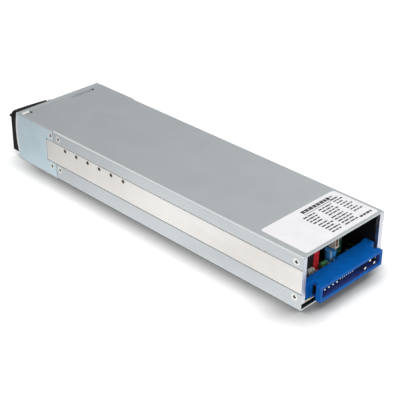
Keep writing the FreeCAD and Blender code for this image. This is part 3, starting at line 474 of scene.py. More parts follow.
@dataclass(frozen=True)
class SolderMask(Finish):
    """Glass-epoxy board under green mask: tracks show as paler lines, pads as tinned dots, cut edges as bare laminate.

    Attributes:
        across: direction through the board.
        cut: colour of the laminate at the board's edges.
        track: colour of the mask where copper lies under it.
        track_mm: length and height of the cells that the tracks run round, and half the width of a track.
        track_soft: how softly the tracks end.
        stagger: how far each row of cells is pushed along, as a share of a cell.
        squash: length of the shorter cells against the others.
        squash_rows: how many rows come to one of shorter cells.
        pad: colour of the pads.
        pad_pitch_mm: distance between pads.
        pad_mm: radius of a pad.
        pad_stray: how far the pads stray from an even grid.
        pad_core: share of a pad's radius that is fully tinned.
    """

    across: Point = (0.0, 0.0, 1.0)
    cut: str = "#D2D3BE"
    track: str = "#2F7F52"
    track_mm: Point = (9.0, 3.2, 0.35)
    track_soft: float = 0.1
    stagger: float = 0.37
    squash: float = 0.6
    squash_rows: int = 3
    pad: str = "#B9BDB4"
    pad_pitch_mm: float = 5.08
    pad_mm: float = 0.8
    pad_stray: float = 0.35
    pad_core: float = 0.8

    def tint(self, on: Surface) -> bpy.types.NodeSocket:
        """Draw tracks and pads over the mask.

        Args:
            on: sockets of the material that is being made.

        Returns:
            The colour all over the board.
        """
        tree = on.tree
        apart = add_node(tree, "SeparateXYZ", None, {0: on.place})
        across = add_node(tree, "Math", {"operation": "ADD"}, {0: apart.outputs[0], 1: apart.outputs[2]})
        plane = add_node(tree, "CombineXYZ", None, {0: apart.outputs[1], 1: across})
        base = super().tint(on)
        tracks = add_node(tree, "TexBrick",
                          {"offset": self.stagger, "squash": self.squash, "squash_frequency": self.squash_rows},
                          {"Vector": plane, "Color1": base, "Color2": base, "Mortar": linear(self.track),
                           "Scale": 1.0, "Mortar Size": self.track_mm[2] * MM, "Mortar Smooth": self.track_soft,
                           "Brick Width": self.track_mm[0] * MM, "Row Height": self.track_mm[1] * MM})
        dots = add_node(tree, "TexVoronoi", {"voronoi_dimensions": "2D"},
                        {"Vector": plane, "Scale": 1 / (self.pad_pitch_mm * MM), "Randomness": self.pad_stray})
        edge = self.pad_mm / self.pad_pitch_mm
        pad = add_node(tree, "MapRange", None,
                       {"Value": dots.outputs["Distance"], "From Min": edge, "From Max": edge * self.pad_core})
        padded = add_node(tree, "Mix", RGBA, {SHARE: pad, FIRST: tracks, SECOND: linear(self.pad)})
        facing = add_node(tree, "VectorMath", {"operation": "DOT_PRODUCT"}, {0: on.flat, 1: self.across})
        flat = add_node(tree, "Math", {"operation": "ABSOLUTE"}, {0: facing})
        whole = add_node(tree, "Mix", RGBA, {SHARE: flat, FIRST: linear(self.cut), SECOND: padded})
        return whole.outputs[MIXED]


@dataclass(frozen=True)
class WoundWire(Finish):
    """Enamelled wire wound through a ring: round ridges side by side, darker between the turns.

    Attributes:
        centre_mm: middle of the ring.
        turns: turns of wire round the ring.
        gap: colour between the turns.
        gap_ends: height of the wire over which that colour has gone.
    """

    centre_mm: Point = (0.0, 0.0, 0.0)
    turns: int = 22
    gap: str = "#140C08"
    gap_ends: float = 0.45

    def grain(self, on: Surface) -> bpy.types.NodeSocket:
        """Draw one ridge for each turn of the wire.

        Args:
            on: sockets of the material that is being made.

        Returns:
            Height of the wire: one on its crown, nought between turns.
        """
        angle = add_node(on.tree, "Math", {"operation": "MULTIPLY"},
                         {0: on.sweep(self.centre_mm), 1: 2 * math.pi * self.turns})
        wave = add_node(on.tree, "Math", {"operation": "COSINE"}, {0: angle})
        ridge = add_node(on.tree, "MapRange", None, {"Value": wave, "From Min": 1.0, "From Max": -1.0})
        return ridge.outputs["Result"]

    def tint(self, on: Surface) -> bpy.types.NodeSocket:
        """Darken the gaps between the turns.

        Args:
            on: sockets of the material that is being made.

        Returns:
            The colour all over the winding.
        """
        base = super().tint(on)
        gaps = add_node(on.tree, "MapRange", None, {"Value": self.grain(on), "From Max": self.gap_ends})
        wound = add_node(on.tree, "Mix", RGBA, {SHARE: gaps, FIRST: linear(self.gap), SECOND: base})
        return wound.outputs[MIXED]


@dataclass(frozen=True)
class ShrunkSleeve(Finish):
    """Sleeve shrunk on a can: satin, with one pale stripe down the side, printed on the black cans and a painted
    highlight on the blue one.

    Attributes:
        centre_mm: middle of the can.
        stripe: colour of the stripe.
        stripe_turn: where the stripe is, as a share of a full turn.
        stripe_width: half the width of the stripe, as a share of a full turn.
    """

    centre_mm: Point = (0.0, 0.0, 0.0)
    stripe: str = "#A9B4C2"
    stripe_turn: float = 0.7
    stripe_width: float = 0.07

    def tint(self, on: Surface) -> bpy.types.NodeSocket:
        """Draw the stripe on the sleeve: print on the black cans, a painted highlight on the blue one.

        Args:
            on: sockets of the material that is being made.

        Returns:
            The colour all over the can.
        """
        near = add_node(on.tree, "Math", {"operation": "COMPARE"},
                        {0: on.sweep(self.centre_mm), 1: self.stripe_turn, 2: self.stripe_width})
        printed = add_node(on.tree, "Mix", RGBA, {SHARE: near, FIRST: super().tint(on), SECOND: linear(self.stripe)})
        return printed.outputs[MIXED]


@dataclass(frozen=True)
class ClearAcrylic(Finish):
    """Moulded acrylic light guide: clear with a pale green cast.

    Attributes:
        ior: refractive index of acrylic.
        transmission: share of the light that goes through.
    """

    ior: float = 1.49
    transmission: float = 0.8

    def paint(self, on: Surface) -> None:
        """Let the light through as well as painting the surface.

        Args:
            on: sockets of the material that is being made.
        """
        super().paint(on)
        on.shader.inputs["IOR"].default_value = self.ior
        on.shader.inputs["Transmission Weight"].default_value = self.transmission


# Hot-dip galvanised steel, skin-passed and oiled: an even grey with faint rolling streaks along the sheet, and a
# painted highlight on its bends.
# Real streaks are about 0.2 mm wide and are drawn wider here, or they would not show.
GALVANISED = FoldedSheet("galvanised_steel_rolled", "#CBD0D3", "#C7CCCF", "#E9EEF0", 0.42, 0.04, 1.0,
                         (1.2, 30.0, 1.2), 0.003, 26.0, 0.5, 0.7)
# Blue-passivated zinc plate on the wings of the frame: a cooler, bluer and brighter grey than the covers.
ZINC_PLATE = PlatedWings("zinc_plate_blue_passivated", "#D7E8F0", "#D0E3EC", "#EEF5F9", 0.40, 0.05, 1.0,
                         (1.0, 1.0, 14.0), 0.004, 18.0, 0.4, 0.6)
# Glass-epoxy board under green solder mask: deep green and glossy, with a pale cut edge.
GREEN_BOARD = SolderMask("glass_epoxy_green_mask", "#1C5A38", "#184E31", "#5B7A4E", 0.34, 0.06, 0.0,
                         (1.0, 1.0, 1.0), 0.01, 16.0, 0.2, 0.2)
# The same board stood on edge: its faces look sideways, and its cut edge is inked dark green.
UPRIGHT_BOARD = SolderMask("glass_epoxy_green_mask_upright", "#1C5A38", "#184E31", "#5B7A4E", 0.34, 0.06, 0.0,
                           (1.0, 1.0, 1.0), 0.01, 16.0, 0.2, 0.2, across=(1.0, 0.0, 0.0), cut="#173A26")
# Clear acrylic from a polished mould: glassy, with a pale green cast.
LIGHT_GUIDE = ClearAcrylic("acrylic_clear_moulded", "#D6EEDB", "#CBE6D2", "#F2FBF4", 0.12, 0.04, 0.0,
                           (0.8, 0.8, 0.8), 0.004, 4.0, 0.2, 0.3)


def dress(node: str, finish: Finish) -> None:
    """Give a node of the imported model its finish.

    Args:
        node: name of the node.
        finish: what its surface is.
    """
    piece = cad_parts[node]
    piece.data.materials.clear()
    piece.data.materials.append(finish.material())
    LOG.info("dressed %s in %s", node, finish.name)


def box_mm(node: str) -> tuple[Vector, Vector]:
    """Lowest and highest corner of a node's box, in millimetres."""
    low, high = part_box(node)
    return low / MM, high / MM


def middle_mm(node: str) -> Point:
    """Middle of a node's box, in millimetres."""
    low, high = box_mm(node)
    return tuple((low + high) / 2)


def loft(mesh: bmesh.types.BMesh, rings: Sequence[Sequence[Vector]],
         ends: Ends = Ends.CLOSED) -> list[list[bmesh.types.BMVert]]:
    """Add walls between rings of corners.

    Args:
        mesh: mesh that is being drawn, in millimetres.
        rings: corners of each ring, as many in one as in another.
        ends: what becomes of the first and the last ring.

    Returns:
        The corners as they are in the mesh, by ring.
    """
    made = [[mesh.verts.new(corner) for corner in ring] for ring in rings]
    if ends is Ends.JOINED:
        made.append(made[0])
    else:
        mesh.faces.new(made[-1])
    if ends is Ends.CLOSED:
        mesh.faces.new(made[0][::-1])
    for under, over in zip(made, made[1:]):
        for i in range(len(under)):
            mesh.faces.new((under[i - 1], under[i], over[i], over[i - 1]))
    return made


def prism(mesh: bmesh.types.BMesh, outline: Sequence[Vector], rise: Vector) -> None:
    """Add a closed prism to a mesh.

    Args:
        mesh: mesh that is being drawn, in millimetres.
        outline: corners of the base.
        rise: from the base to the other end.
    """
    loft(mesh, [outline, [corner + rise for corner in outline]])


def rounded(low: Span, high: Span, radius: float, z: float, steps: int = 6) -> list[Vector]:
    """Corners of a flat rectangle with rounded corners.

    Args:
        low: least x and y.
        high: greatest x and y.
        radius: radius of the corners.
        z: height of the rectangle.
        steps: edges in each rounded corner.

    Returns:
        The corners, counter-clockwise from above.
    """
    middles = [(high[0] - radius, high[1] - radius), (low[0] + radius, high[1] - radius),
               (low[0] + radius, low[1] + radius), (high[0] - radius, low[1] + radius)]
    corners = []
    for quarter, (x, y) in enumerate(middles):
        for i in range(steps + 1):
            angle = math.pi / 2 * (quarter + i / steps)
            corners.append(Vector((x + radius * math.cos(angle), y + radius * math.sin(angle), z)))
    return corners


def box(mesh: bmesh.types.BMesh, low: Point, high: Point, edge: float) -> None:
    """Add an upright block with rounded upright edges and a chamfered top.

    Args:
        mesh: mesh that is being drawn, in millimetres.
        low: lowest corner.
        high: highest corner.
        edge: radius of the edges and depth of the chamfer.
    """
    base = rounded(low[:2], high[:2], edge, low[2], steps=2)
    middle = Vector(((low[0] + high[0]) / 2, (low[1] + high[1]) / 2, 0.0))
    inward = [(p - middle).xy.normalized() * edge for p in base]
    shoulder = [Vector((p.x, p.y, high[2] - edge)) for p in base]
    top = [Vector((p.x - d.x, p.y - d.y, high[2])) for p, d in zip(base, inward)]
    loft(mesh, [base, shoulder, top])


def turned(mesh: bmesh.types.BMesh, profile: Sequence[Span], foot: Vector, sides: int = 32, axis: Axis = Axis.Z,
           ends: Ends = Ends.CLOSED) -> list[list[bmesh.types.BMVert]]:
    """Add a turned form.

    Args:
        mesh: mesh that is being drawn, in millimetres.
        profile: radius and height of each ring.
        foot: point on the axis at height nought.
        sides: flats round the form.
        axis: direction that it stands in.
        ends: what becomes of the first and the last ring.

    Returns:
        The corners as they are in the mesh, by ring.
    """
    turn = axis.value.to_track_quat("Z", "Y").to_matrix()
    angles = [2 * math.pi * i / sides for i in range(sides)]
    rings = [[foot + turn @ Vector((radius * math.cos(a), radius * math.sin(a), height)) for a in angles]
             for radius, height in profile]
    return loft(mesh, rings, ends)


def add_piece(name: str, mesh: bmesh.types.BMesh, finish: Finish,
              replaced: Sequence[str] = ()) -> None:
    """Turn a drawn mesh into a piece that rides on the case.

    Args:
        name: name of the piece.
        mesh: mesh drawn in millimetres, in the model's frame. It is freed here.
        finish: what its surface is.
        replaced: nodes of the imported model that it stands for.
    """
    bmesh.ops.recalc_face_normals(mesh, faces=mesh.faces)
    bmesh.ops.scale(mesh, vec=(MM, MM, MM), verts=mesh.verts)
    data = bpy.data.meshes.new(name)
    mesh.to_mesh(data)
    mesh.free()
    data.materials.append(finish.material())
    piece = bpy.data.objects.new(name, data)
    bpy.context.scene.collection.objects.link(piece)
    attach(piece, CASE_BODY)
    if replaced:
        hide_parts(*replaced)
    LOG.info("built %s with %d faces", name, len(data.polygons))


@dataclass
class Assembly:
    """A sub-assembly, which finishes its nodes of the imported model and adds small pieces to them.

    Attributes:
        finishes: finish of each of its nodes, by the node's name.
    """

    finishes: dict[str, Finish] = field(default_factory=dict)

    def dress(self) -> None:
        """Finish the nodes."""
        for node, finish in self.finishes.items():
            dress(node, finish)

    def build(self) -> None:
        """Add the small pieces, where there are any."""


@dataclass
class Case(Assembly):
    """Folded covers, front frame and side rails, with the small pressed details of their sheet.

    Attributes:
        lance: span across and along the case of the bump that is lanced out of the top cover.
        lance_rise: height of the bump's front edge.
        lance_lip: length and drop of the chamfer along that edge.
        lance_tail: height of the bump where it ends.
        dark: spans, corner radius and height of the black sheets that paint the shade in the slit beside the bump and
            in the cut behind the far hook.
        sunk: how far under the cover's face these details start.
        holes: holes in each rail.
        first_hole: place of the first hole along the case.
        hole_pitch: distance between holes.
        hole_height: height of the holes.
        hole_sides: flats round a hole.
        rim: radius and height of each edge of the pressed-in rim round a hole.
        shade_disc: radius and height of each edge of a black disc deep in a hole, which paints the shade in it.
        land: least and greatest height of the rail's outer face.
        seam: how far before the rail the strip in its seam starts and ends.
        seam_depth: least and greatest depth of that strip under the rail's face.
        seam_edge: radius of the strip's edges.
    """

    lance: Area = ((34.2, 41.2), (-144.7, -142.3))
    lance_rise: float = 0.7
    lance_lip: Span = (0.3, 0.1)
    lance_tail: float = 0.03
    dark: tuple[tuple[Area, float, float], ...] = ((((32.7, 34.2), (-144.7, -142.3)), 0.4, 0.08),
                                                   (((-30.4, -8.0), (-140.75, -140.4)), 0.12, 0.07))
    sunk: float = 0.05
    holes: int = 6
    first_hole: float = -88.9
    hole_pitch: float = 13.5
    hole_height: float = 28.2
    hole_sides: int = 24
    rim: tuple[Span, ...] = ((1.85, -0.02), (1.75, 0.06), (1.28, 0.06), (1.26, -0.3), (1.85, -0.3))
    shade_disc: tuple[Span, ...] = ((1.28, -1.2), (1.28, -0.7), (0.64, -0.9))
    land: Span = (12.9, 30.5)
    seam: Span = (0.46, 0.02)
    seam_depth: Span = (0.1, 1.0)
    seam_edge: float = 0.05
    finishes: dict[str, Finish] = field(default_factory=lambda: {
        "top_cover": GALVANISED, "bottom_cover": GALVANISED, "front_frame": ZINC_PLATE,
        "side_rail_right": DRAWN_ALUMINIUM, "side_rail_left": DRAWN_ALUMINIUM,
    })

    def build(self) -> None:
        """Add the lanced bump, the rims of the rails' holes with black discs of painted shade deep in them, and the
        strips in the seams before the rails.
        """
        self.bump()
        rims, shade_discs, strips = bmesh.new(), bmesh.new(), bmesh.new()
        for node, axis in (("side_rail_right", Axis.X), ("side_rail_left", Axis.MINUS_X)):
            low, high = box_mm(node)
            face = high.x if axis is Axis.X else low.x
            for i in range(self.holes):
                place = Vector((face, self.first_hole + self.hole_pitch * i, self.hole_height))
                turned(rims, self.rim, place, self.hole_sides, axis, Ends.JOINED)
                turned(shade_discs, self.shade_disc, place, self.hole_sides, axis)
            left, right = sorted(face - depth * axis.value.x for depth in self.seam_depth)
            box(strips, (left, low.y - self.seam[0], self.land[0]), (right, low.y - self.seam[1], self.land[1]),
                self.seam_edge)
        add_piece("rail_hole_rims", rims, OILED_STEEL)
        # Black discs deep in the holes paint the shade in them.
        add_piece("rail_hole_shade_disc", shade_discs, BLACK_EPOXY)
        add_piece("rail_seam_strips", strips, DRAWN_ALUMINIUM)

    def bump(self) -> None:
        """Raise the lanced bump on the top cover, and lay black sheets of painted shade in the slit beside it and the
        cut behind the hook.
        """
        (near, far), (front, rear) = self.lance
        top = box_mm("top_cover")[1].z
        crest, (lip, drop) = top + self.lance_rise, self.lance_lip
        profile = [(front, top - self.sunk), (rear, top - self.sunk), (rear, top + self.lance_tail),
                   (front + lip, crest), (front, crest - drop)]
        mesh = bmesh.new()
        prism(mesh, [Vector((near, y, z)) for y, z in profile], Vector((far - near, 0.0, 0.0)))
        add_piece("cover_lance", mesh, NICKEL_SCREW)
        mesh = bmesh.new()
        # Black sheets that paint the shade in the slit and the cut.
        for ((near, far), (front, rear)), corner, height in self.dark:
            prism(mesh, rounded((near, front), (far, rear), corner, top - self.sunk), Vector((0.0, 0.0, height)))
        add_piece("cover_lance_slit_shade", mesh, BLACK_FILM)


@dataclass(frozen=True)
class CrossScrew:
    """A screw with a cross recess, drawn pointing up and then turned to its axis.

    Attributes:
        outside: radius and height of each ring from the top of the head down, the top at nought.
        arm: half length of the cross.
        arm_width: half width of its arms.
        recess: depth of the cross.
        painted_shade: depth at which a black sheet of painted shade lies in the cross.
        painted_shade_size: size of that sheet against the cross, so that the two stay apart.
        painted_shade_film: thickness of that sheet.
        taper: size of the cross at its floor, as a share of its size at the top.
        sides: flats round the head.
    """

    outside: tuple[Span, ...]
    arm: float = 1.45
    arm_width: float = 0.55
    recess: float = 1.8
    painted_shade: float = 0.45
    painted_shade_size: float = 0.97
    painted_shade_film: float = 0.05
    taper: float = 0.5
    sides: int = 28

    def cross(self, size: float, z: float) -> list[Vector]:
        """Twelve corners of the cross, counter-clockwise.

        Args:
            size: scale of the cross.
            z: height of the corners.

        Returns:
            The corners.
        """
        a, w = self.arm * size, self.arm_width * size
        quarter = [Vector((a, -w, z)), Vector((a, w, z)), Vector((w, w, z))]
        turn = Matrix.Rotation(math.pi / 2, 3, "Z")
        corners = []
        for _ in range(4):
            corners += quarter
            quarter = [turn @ corner for corner in quarter]
        return corners

    def add(self, mesh: bmesh.types.BMesh, painted_shade: bmesh.types.BMesh, place: Vector, axis: Axis) -> None:
        """Draw one screw.

        Args:
            mesh: mesh of the screws, in millimetres.
            painted_shade: mesh of the black sheets that paint the shade in their recesses.
            place: middle of the head's top.
            axis: direction that the head faces.
        """
        turn = axis.value.to_track_quat("Z", "Y").to_matrix()
        head = turned(mesh, self.outside, place, self.sides, axis, Ends.LAST_CLOSED)
        sizes = ((1.0, 0.0), (self.taper, -self.recess))
        walls = [[place + turn @ p for p in self.cross(size, z)] for size, z in sizes]
        cross = loft(mesh, walls, Ends.LAST_CLOSED)
        rim = [mesh.edges.get((ring[i - 1], ring[i])) for ring in (head[0], cross[0]) for i in range(len(ring))]
        bmesh.ops.triangle_fill(mesh, use_beauty=True, edges=rim)
        # A black sheet down in the cross paints the shade of the recess.
        share = self.painted_shade / self.recess
        outline = self.cross(self.painted_shade_size - share * (1.0 - self.taper), -self.painted_shade)
        prism(painted_shade, [place + turn @ p for p in outline], turn @ Vector((0.0, 0.0, self.painted_shade_film)))


@dataclass
class Fasteners(Assembly):
    """Countersunk screws of the case and pan-head screws of the fan.

    Attributes:
        countersunk: screw of the covers and the front frame.
        pan: screw of the fan.
        pan_reach: radius of that screw's head.
        cover_heights: heights of the cover screws.
        head_reach: from the end of a screw group's box to the middle of its first head.
        lone_head: length of such a box under which it holds one head along the case, on each side and height.
    """

    countersunk: CrossScrew = CrossScrew(((2.6, 0.0), (2.75, -0.12), (1.5, -1.35), (1.5, -3.9)))
    pan: CrossScrew = CrossScrew(((2.2, 0.0), (2.7, -0.35), (2.9, -0.9), (2.9, -1.5), (1.65, -1.5), (1.65, -9.0)))
    pan_reach: float = 2.9
    cover_heights: Span = (8.8, 35.6)
    head_reach: float = 2.75
    lone_head: float = 8.25

    def build(self) -> None:
        """Draw the screws with their recesses."""
        painted_shade = bmesh.new()
        self.side_screws("cover_screws", painted_shade)
        self.side_screws("front_screws", painted_shade)
        mesh = bmesh.new()
        low, high = box_mm("fan_screws")
        for x in (low.x + self.pan_reach, high.x - self.pan_reach):
            for z in (low.z + self.pan_reach, high.z - self.pan_reach):
                self.pan.add(mesh, painted_shade, Vector((x, low.y, z)), Axis.MINUS_Y)
        add_piece("fan_screw_heads", mesh, NICKEL_SCREW, replaced=["fan_screws"])
        add_piece("screw_recess_painted_shade", painted_shade, BLACK_EPOXY)

    def side_screws(self, node: str, painted_shade: bmesh.types.BMesh) -> None:
        """Draw the screws in both sides of the case that one node stands for.

        Args:
            node: name of the node.
            painted_shade: mesh of the black sheets that paint the shade in the recesses.
        """
        mesh = bmesh.new()
        low, high = box_mm(node)
        lone = high.y - low.y < self.lone_head
        for y in [(low.y + high.y) / 2] if lone else [low.y + self.head_reach, high.y - self.head_reach]:
            for z in self.cover_heights:
                self.countersunk.add(mesh, painted_shade, Vector((high.x, y, z)), Axis.X)
                self.countersunk.add(mesh, painted_shade, Vector((low.x, y, z)), Axis.MINUS_X)
        add_piece(node + "_recessed", mesh, NICKEL_SCREW, replaced=[node])


@dataclass(frozen=True)
class PrintBlock:
    """Rows of plain bars, one under another.

    Attributes:
        columns: start of each column from the plate's near edge, and how far its rows may reach by turns.
        rows: rows of the block.
        down: distance of the first row's upper side from the plate's front edge.
        height: height of the bars.
        length: shortest and longest bar.
        space: gap between bars.
        pitch: from one row to the next.
    """

    columns: tuple[tuple[float, tuple[float, ...]], ...]
    rows: int
    down: float
    height: float = 1.3
    length: Span = (2.4, 5.0)
    space: float = 0.7
    pitch: float = 2.9

    def bars(self, draw: random.Random) -> list[tuple[Span, float]]:
        """Draw the lengths of the bars, row by row.

        Args:
            draw: source of the lengths.

        Returns:
            Start and end of each bar from the plate's near edge, and its distance from the front edge.
        """
        made = []
        for row in range(self.rows):
            for start, reach in self.columns:
                end = reach[row % len(reach)]
                while start < end:
                    stop = min(start + draw.uniform(*self.length), end)
                    made.append(((start, stop), self.down + self.pitch * row))
                    start = stop + self.space
        return made


@dataclass
class NamePlate(Assembly):
    """Rating plate on the top cover, printed with rows of plain bars.

    Attributes:
        near: distance of the plate's near edge from the middle of the case.
        far: distance of its far edge on the other side.
        front: where the plate starts along the case.
        rear: where it ends.
        corner: radius of its corners.
        thickness: thickness of the foil.
        ink: height of the print over the foil, more than real so that the two stay apart.
        seed: start of the random lengths of the bars.
        rule: start and end of a long thin bar, its distance from the front edge and its height.
        blocks: the rows of bars.
    """

    near: float = 36.9
    far: float = 39.0
    front: float = 108.4
    rear: float = 148.0
    corner: float = 2.2
    thickness: float = 0.15
    ink: float = 0.03
    seed: int = 11
    rule: tuple[Span, float, float] = ((35.5, 70.0), 7.9, 0.5)
    blocks: tuple[PrintBlock, ...] = (
        PrintBlock(((36.0, (65.0,)),), 1, 3.4, 3.2, (2.0, 4.2), 0.6),
        PrintBlock(((31.0, (43.0, 42.0, 41.0, 40.0)), (47.0, (60.5, 58.5))), 4, 10.2),
        PrintBlock(((32.0, (41.5, 43.5)), (45.5, (58.0, 59.0, 60.0))), 5, 22.4),
        PrintBlock(((63.5, (69.5, 71.1, 72.7)),), 9, 4.0, 1.2, (1.8, 4.0), 0.6),
        PrintBlock(((60.5, (73.0,)),), 1, 34.4, 1.9, (2.4, 4.0), 0.6),
    )

    def build(self) -> None:
        """Lay the foil and print it."""
        top = box_mm("top_cover")[1].z
        foil, ink = bmesh.new(), bmesh.new()
        outline = rounded((-self.far, self.front), (self.near, self.rear), self.corner, top)
        prism(foil, outline, Vector((0.0, 0.0, self.thickness)))
        add_piece("name_plate", foil, LABEL_FOIL)
        draw = random.Random(self.seed)
        bars = [self.rule] + [(*bar, block.height) for block in self.blocks for bar in block.bars(draw)]
        for (start, end), down, height in bars:
            (x0, x1), y = (self.near - end, self.near - start), self.front + down
            corners = [(x0, y), (x1, y), (x1, y + height), (x0, y + height)]
            prism(ink, [Vector((*corner, top + self.thickness)) for corner in corners], Vector((0.0, 0.0, self.ink)))
        add_piece("name_plate_print", ink, LABEL_INK)


@dataclass
class FrontPanel(Assembly):
    """Fan, guard, pull and status lights."""

    finishes: dict[str, Finish] = field(default_factory=lambda: {
        "fan_guard": GALVANISED, "fan_frame": BLACK_POLYESTER, "fan_rotor": BLACK_POLYESTER,
        "fan_bearing": SINTERED_BRONZE, "fan_shaft": NICKEL_SCREW,
        "hinge_bracket": GALVANISED, "hinge_pin": NICKEL_SCREW, "pull_handle": BLACK_NYLON,
        "status_lights": LIGHT_GUIDE,
        # Enamelled copper on the stator: glossy red-brown ridges with dark gaps.
        "fan_stator": WoundWire("copper_enamelled_stator", "#8A4A22", "#7A3F1C", "#B8743F", 0.32, 0.06, 0.6,
                                (0.4, 0.4, 0.4), 0.05, 3.0, 0.2, 0.4, centre_mm=middle_mm("fan_stator"), turns=12),
    })


@dataclass
class RearConnector(Assembly):
    """Shrouded connector, with dark navy sheets of painted shade inside its mouth.

    Attributes:
        wall: thickness of the shroud.
        shroud_half: half width of the shroud.
        cavity: depth of the mouth.
        groove: how far behind the front the groove in each end starts.
        lip: how far the sheets of painted shade start inside the mouth.
        floor_step: how far the lower sheet lies over the shroud's floor.
        film: thickness of those sheets.
        plate: how far the black blocks that paint the shade behind the grooves lie inside the end walls, near face and
            far face.
        shade_block_run: how far behind the front those blocks start and end.
        bite: how far those blocks and the contacts reach into the walls, and the radius of their edges.
        teeth: contacts in the comb under the upper edge of the mouth.
        tooth: width, length and drop of a contact.
        tooth_lip: how far the contacts start behind the front.
        tooth_pitch: distance between contacts.
        first_tooth: place of the first contact across the case.
        tip: radius of each ring of the rounded tips on the signal pins, and its distance from the pin's end.
        tip_sides: flats round a tip.
        tip_height: height of the tips' middle.
        pins: places of the signal pins across the case.
    """

    wall: float = 2.2
    shroud_half: float = 32.9
    cavity: float = 11.0
    groove: float = 3.6
    lip: float = 0.7
    floor_step: float = 0.4
    film: float = 0.25
    plate: Span = (1.05, 1.85)
    shade_block_run: Span = (3.4, 8.9)
    bite: float = 0.1
    teeth: int = 7
    tooth: Point = (0.55, 2.0, 0.7)
    tooth_lip: float = 0.05
    tooth_pitch: float = 2.1
    first_tooth: float = 12.4
    tip: tuple[Span, ...] = ((0.6, -1.5), (0.75, -1.2), (0.75, 0.28), (0.5625, 0.56), (0.2625, 0.7))
    tip_sides: int = 20
    tip_height: float = 13.7
    pins: tuple[float, ...] = (15.0, 19.2, 23.4, 27.6)
    finishes: dict[str, Finish] = field(default_factory=lambda: {
        "connector_housing": BLUE_POLYESTER, "signal_pins": TINNED_BRASS, "inlet_pins": TINNED_BRASS,
        "power_blades": TINNED_BRASS, "connector_screws": NICKEL_SCREW,
    })

    def build(self) -> None:
        """Paint the shade in the mouth with dark navy sheets and behind the grooves with black blocks, hang a comb of
        contacts in the mouth and round the signal pins' tips.
        """
        low, high = box_mm("connector_housing")
        front, back, end = (high.y - depth for depth in (self.lip, self.cavity, self.groove))
        side = self.shroud_half - self.wall
        floor, roof = low.z + self.wall + self.floor_step, high.z - self.wall
        mouth_shade, shade_blocks, comb, tips = bmesh.new(), bmesh.new(), bmesh.new(), bmesh.new()
        # Dark navy sheets inside the mouth paint its shade.
        for (x0, z0), (x1, z1), stop in (((-side, floor), (side, floor + self.film), back),
                                         ((-side, roof - self.film), (side, roof), back),
                                         ((-side, floor), (self.film - side, roof), end),
                                         ((side - self.film, floor), (side, roof), end)):
            prism(mouth_shade, [Vector(p) for p in ((x0, front, z0), (x1, front, z0), (x1, front, z1), (x0, front, z1))],
                  Vector((0.0, stop - front, 0.0)))
        add_piece("connector_mouth_shade", mouth_shade, NAVY_MOUTH_SHADE)
        # Black blocks behind the grooves paint the shade seen through them.
        for near, far in ((side - self.plate[1], side - self.plate[0]), (self.plate[0] - side, self.plate[1] - side)):
            box(shade_blocks, (near, high.y - self.shade_block_run[1], low.z + self.wall - self.bite),
                (far, high.y - self.shade_block_run[0], roof + self.bite), self.bite)
        add_piece("connector_groove_shade_blocks", shade_blocks, BLACK_NYLON)
        width, length, drop = self.tooth
        for i in range(self.teeth):
            x = self.first_tooth - self.tooth_pitch * i
            box(comb, (x - width / 2, high.y - length, roof - drop),
                (x + width / 2, high.y - self.tooth_lip, roof + self.bite), self.bite)
        add_piece("connector_comb", comb, NICKEL_SCREW)
        reach = box_mm("signal_pins")[1].y
        for x in self.pins:
            turned(tips, self.tip, Vector((x, reach, self.tip_height)), self.tip_sides, Axis.Y)
        add_piece("signal_pin_tips", tips, NICKEL_SCREW)


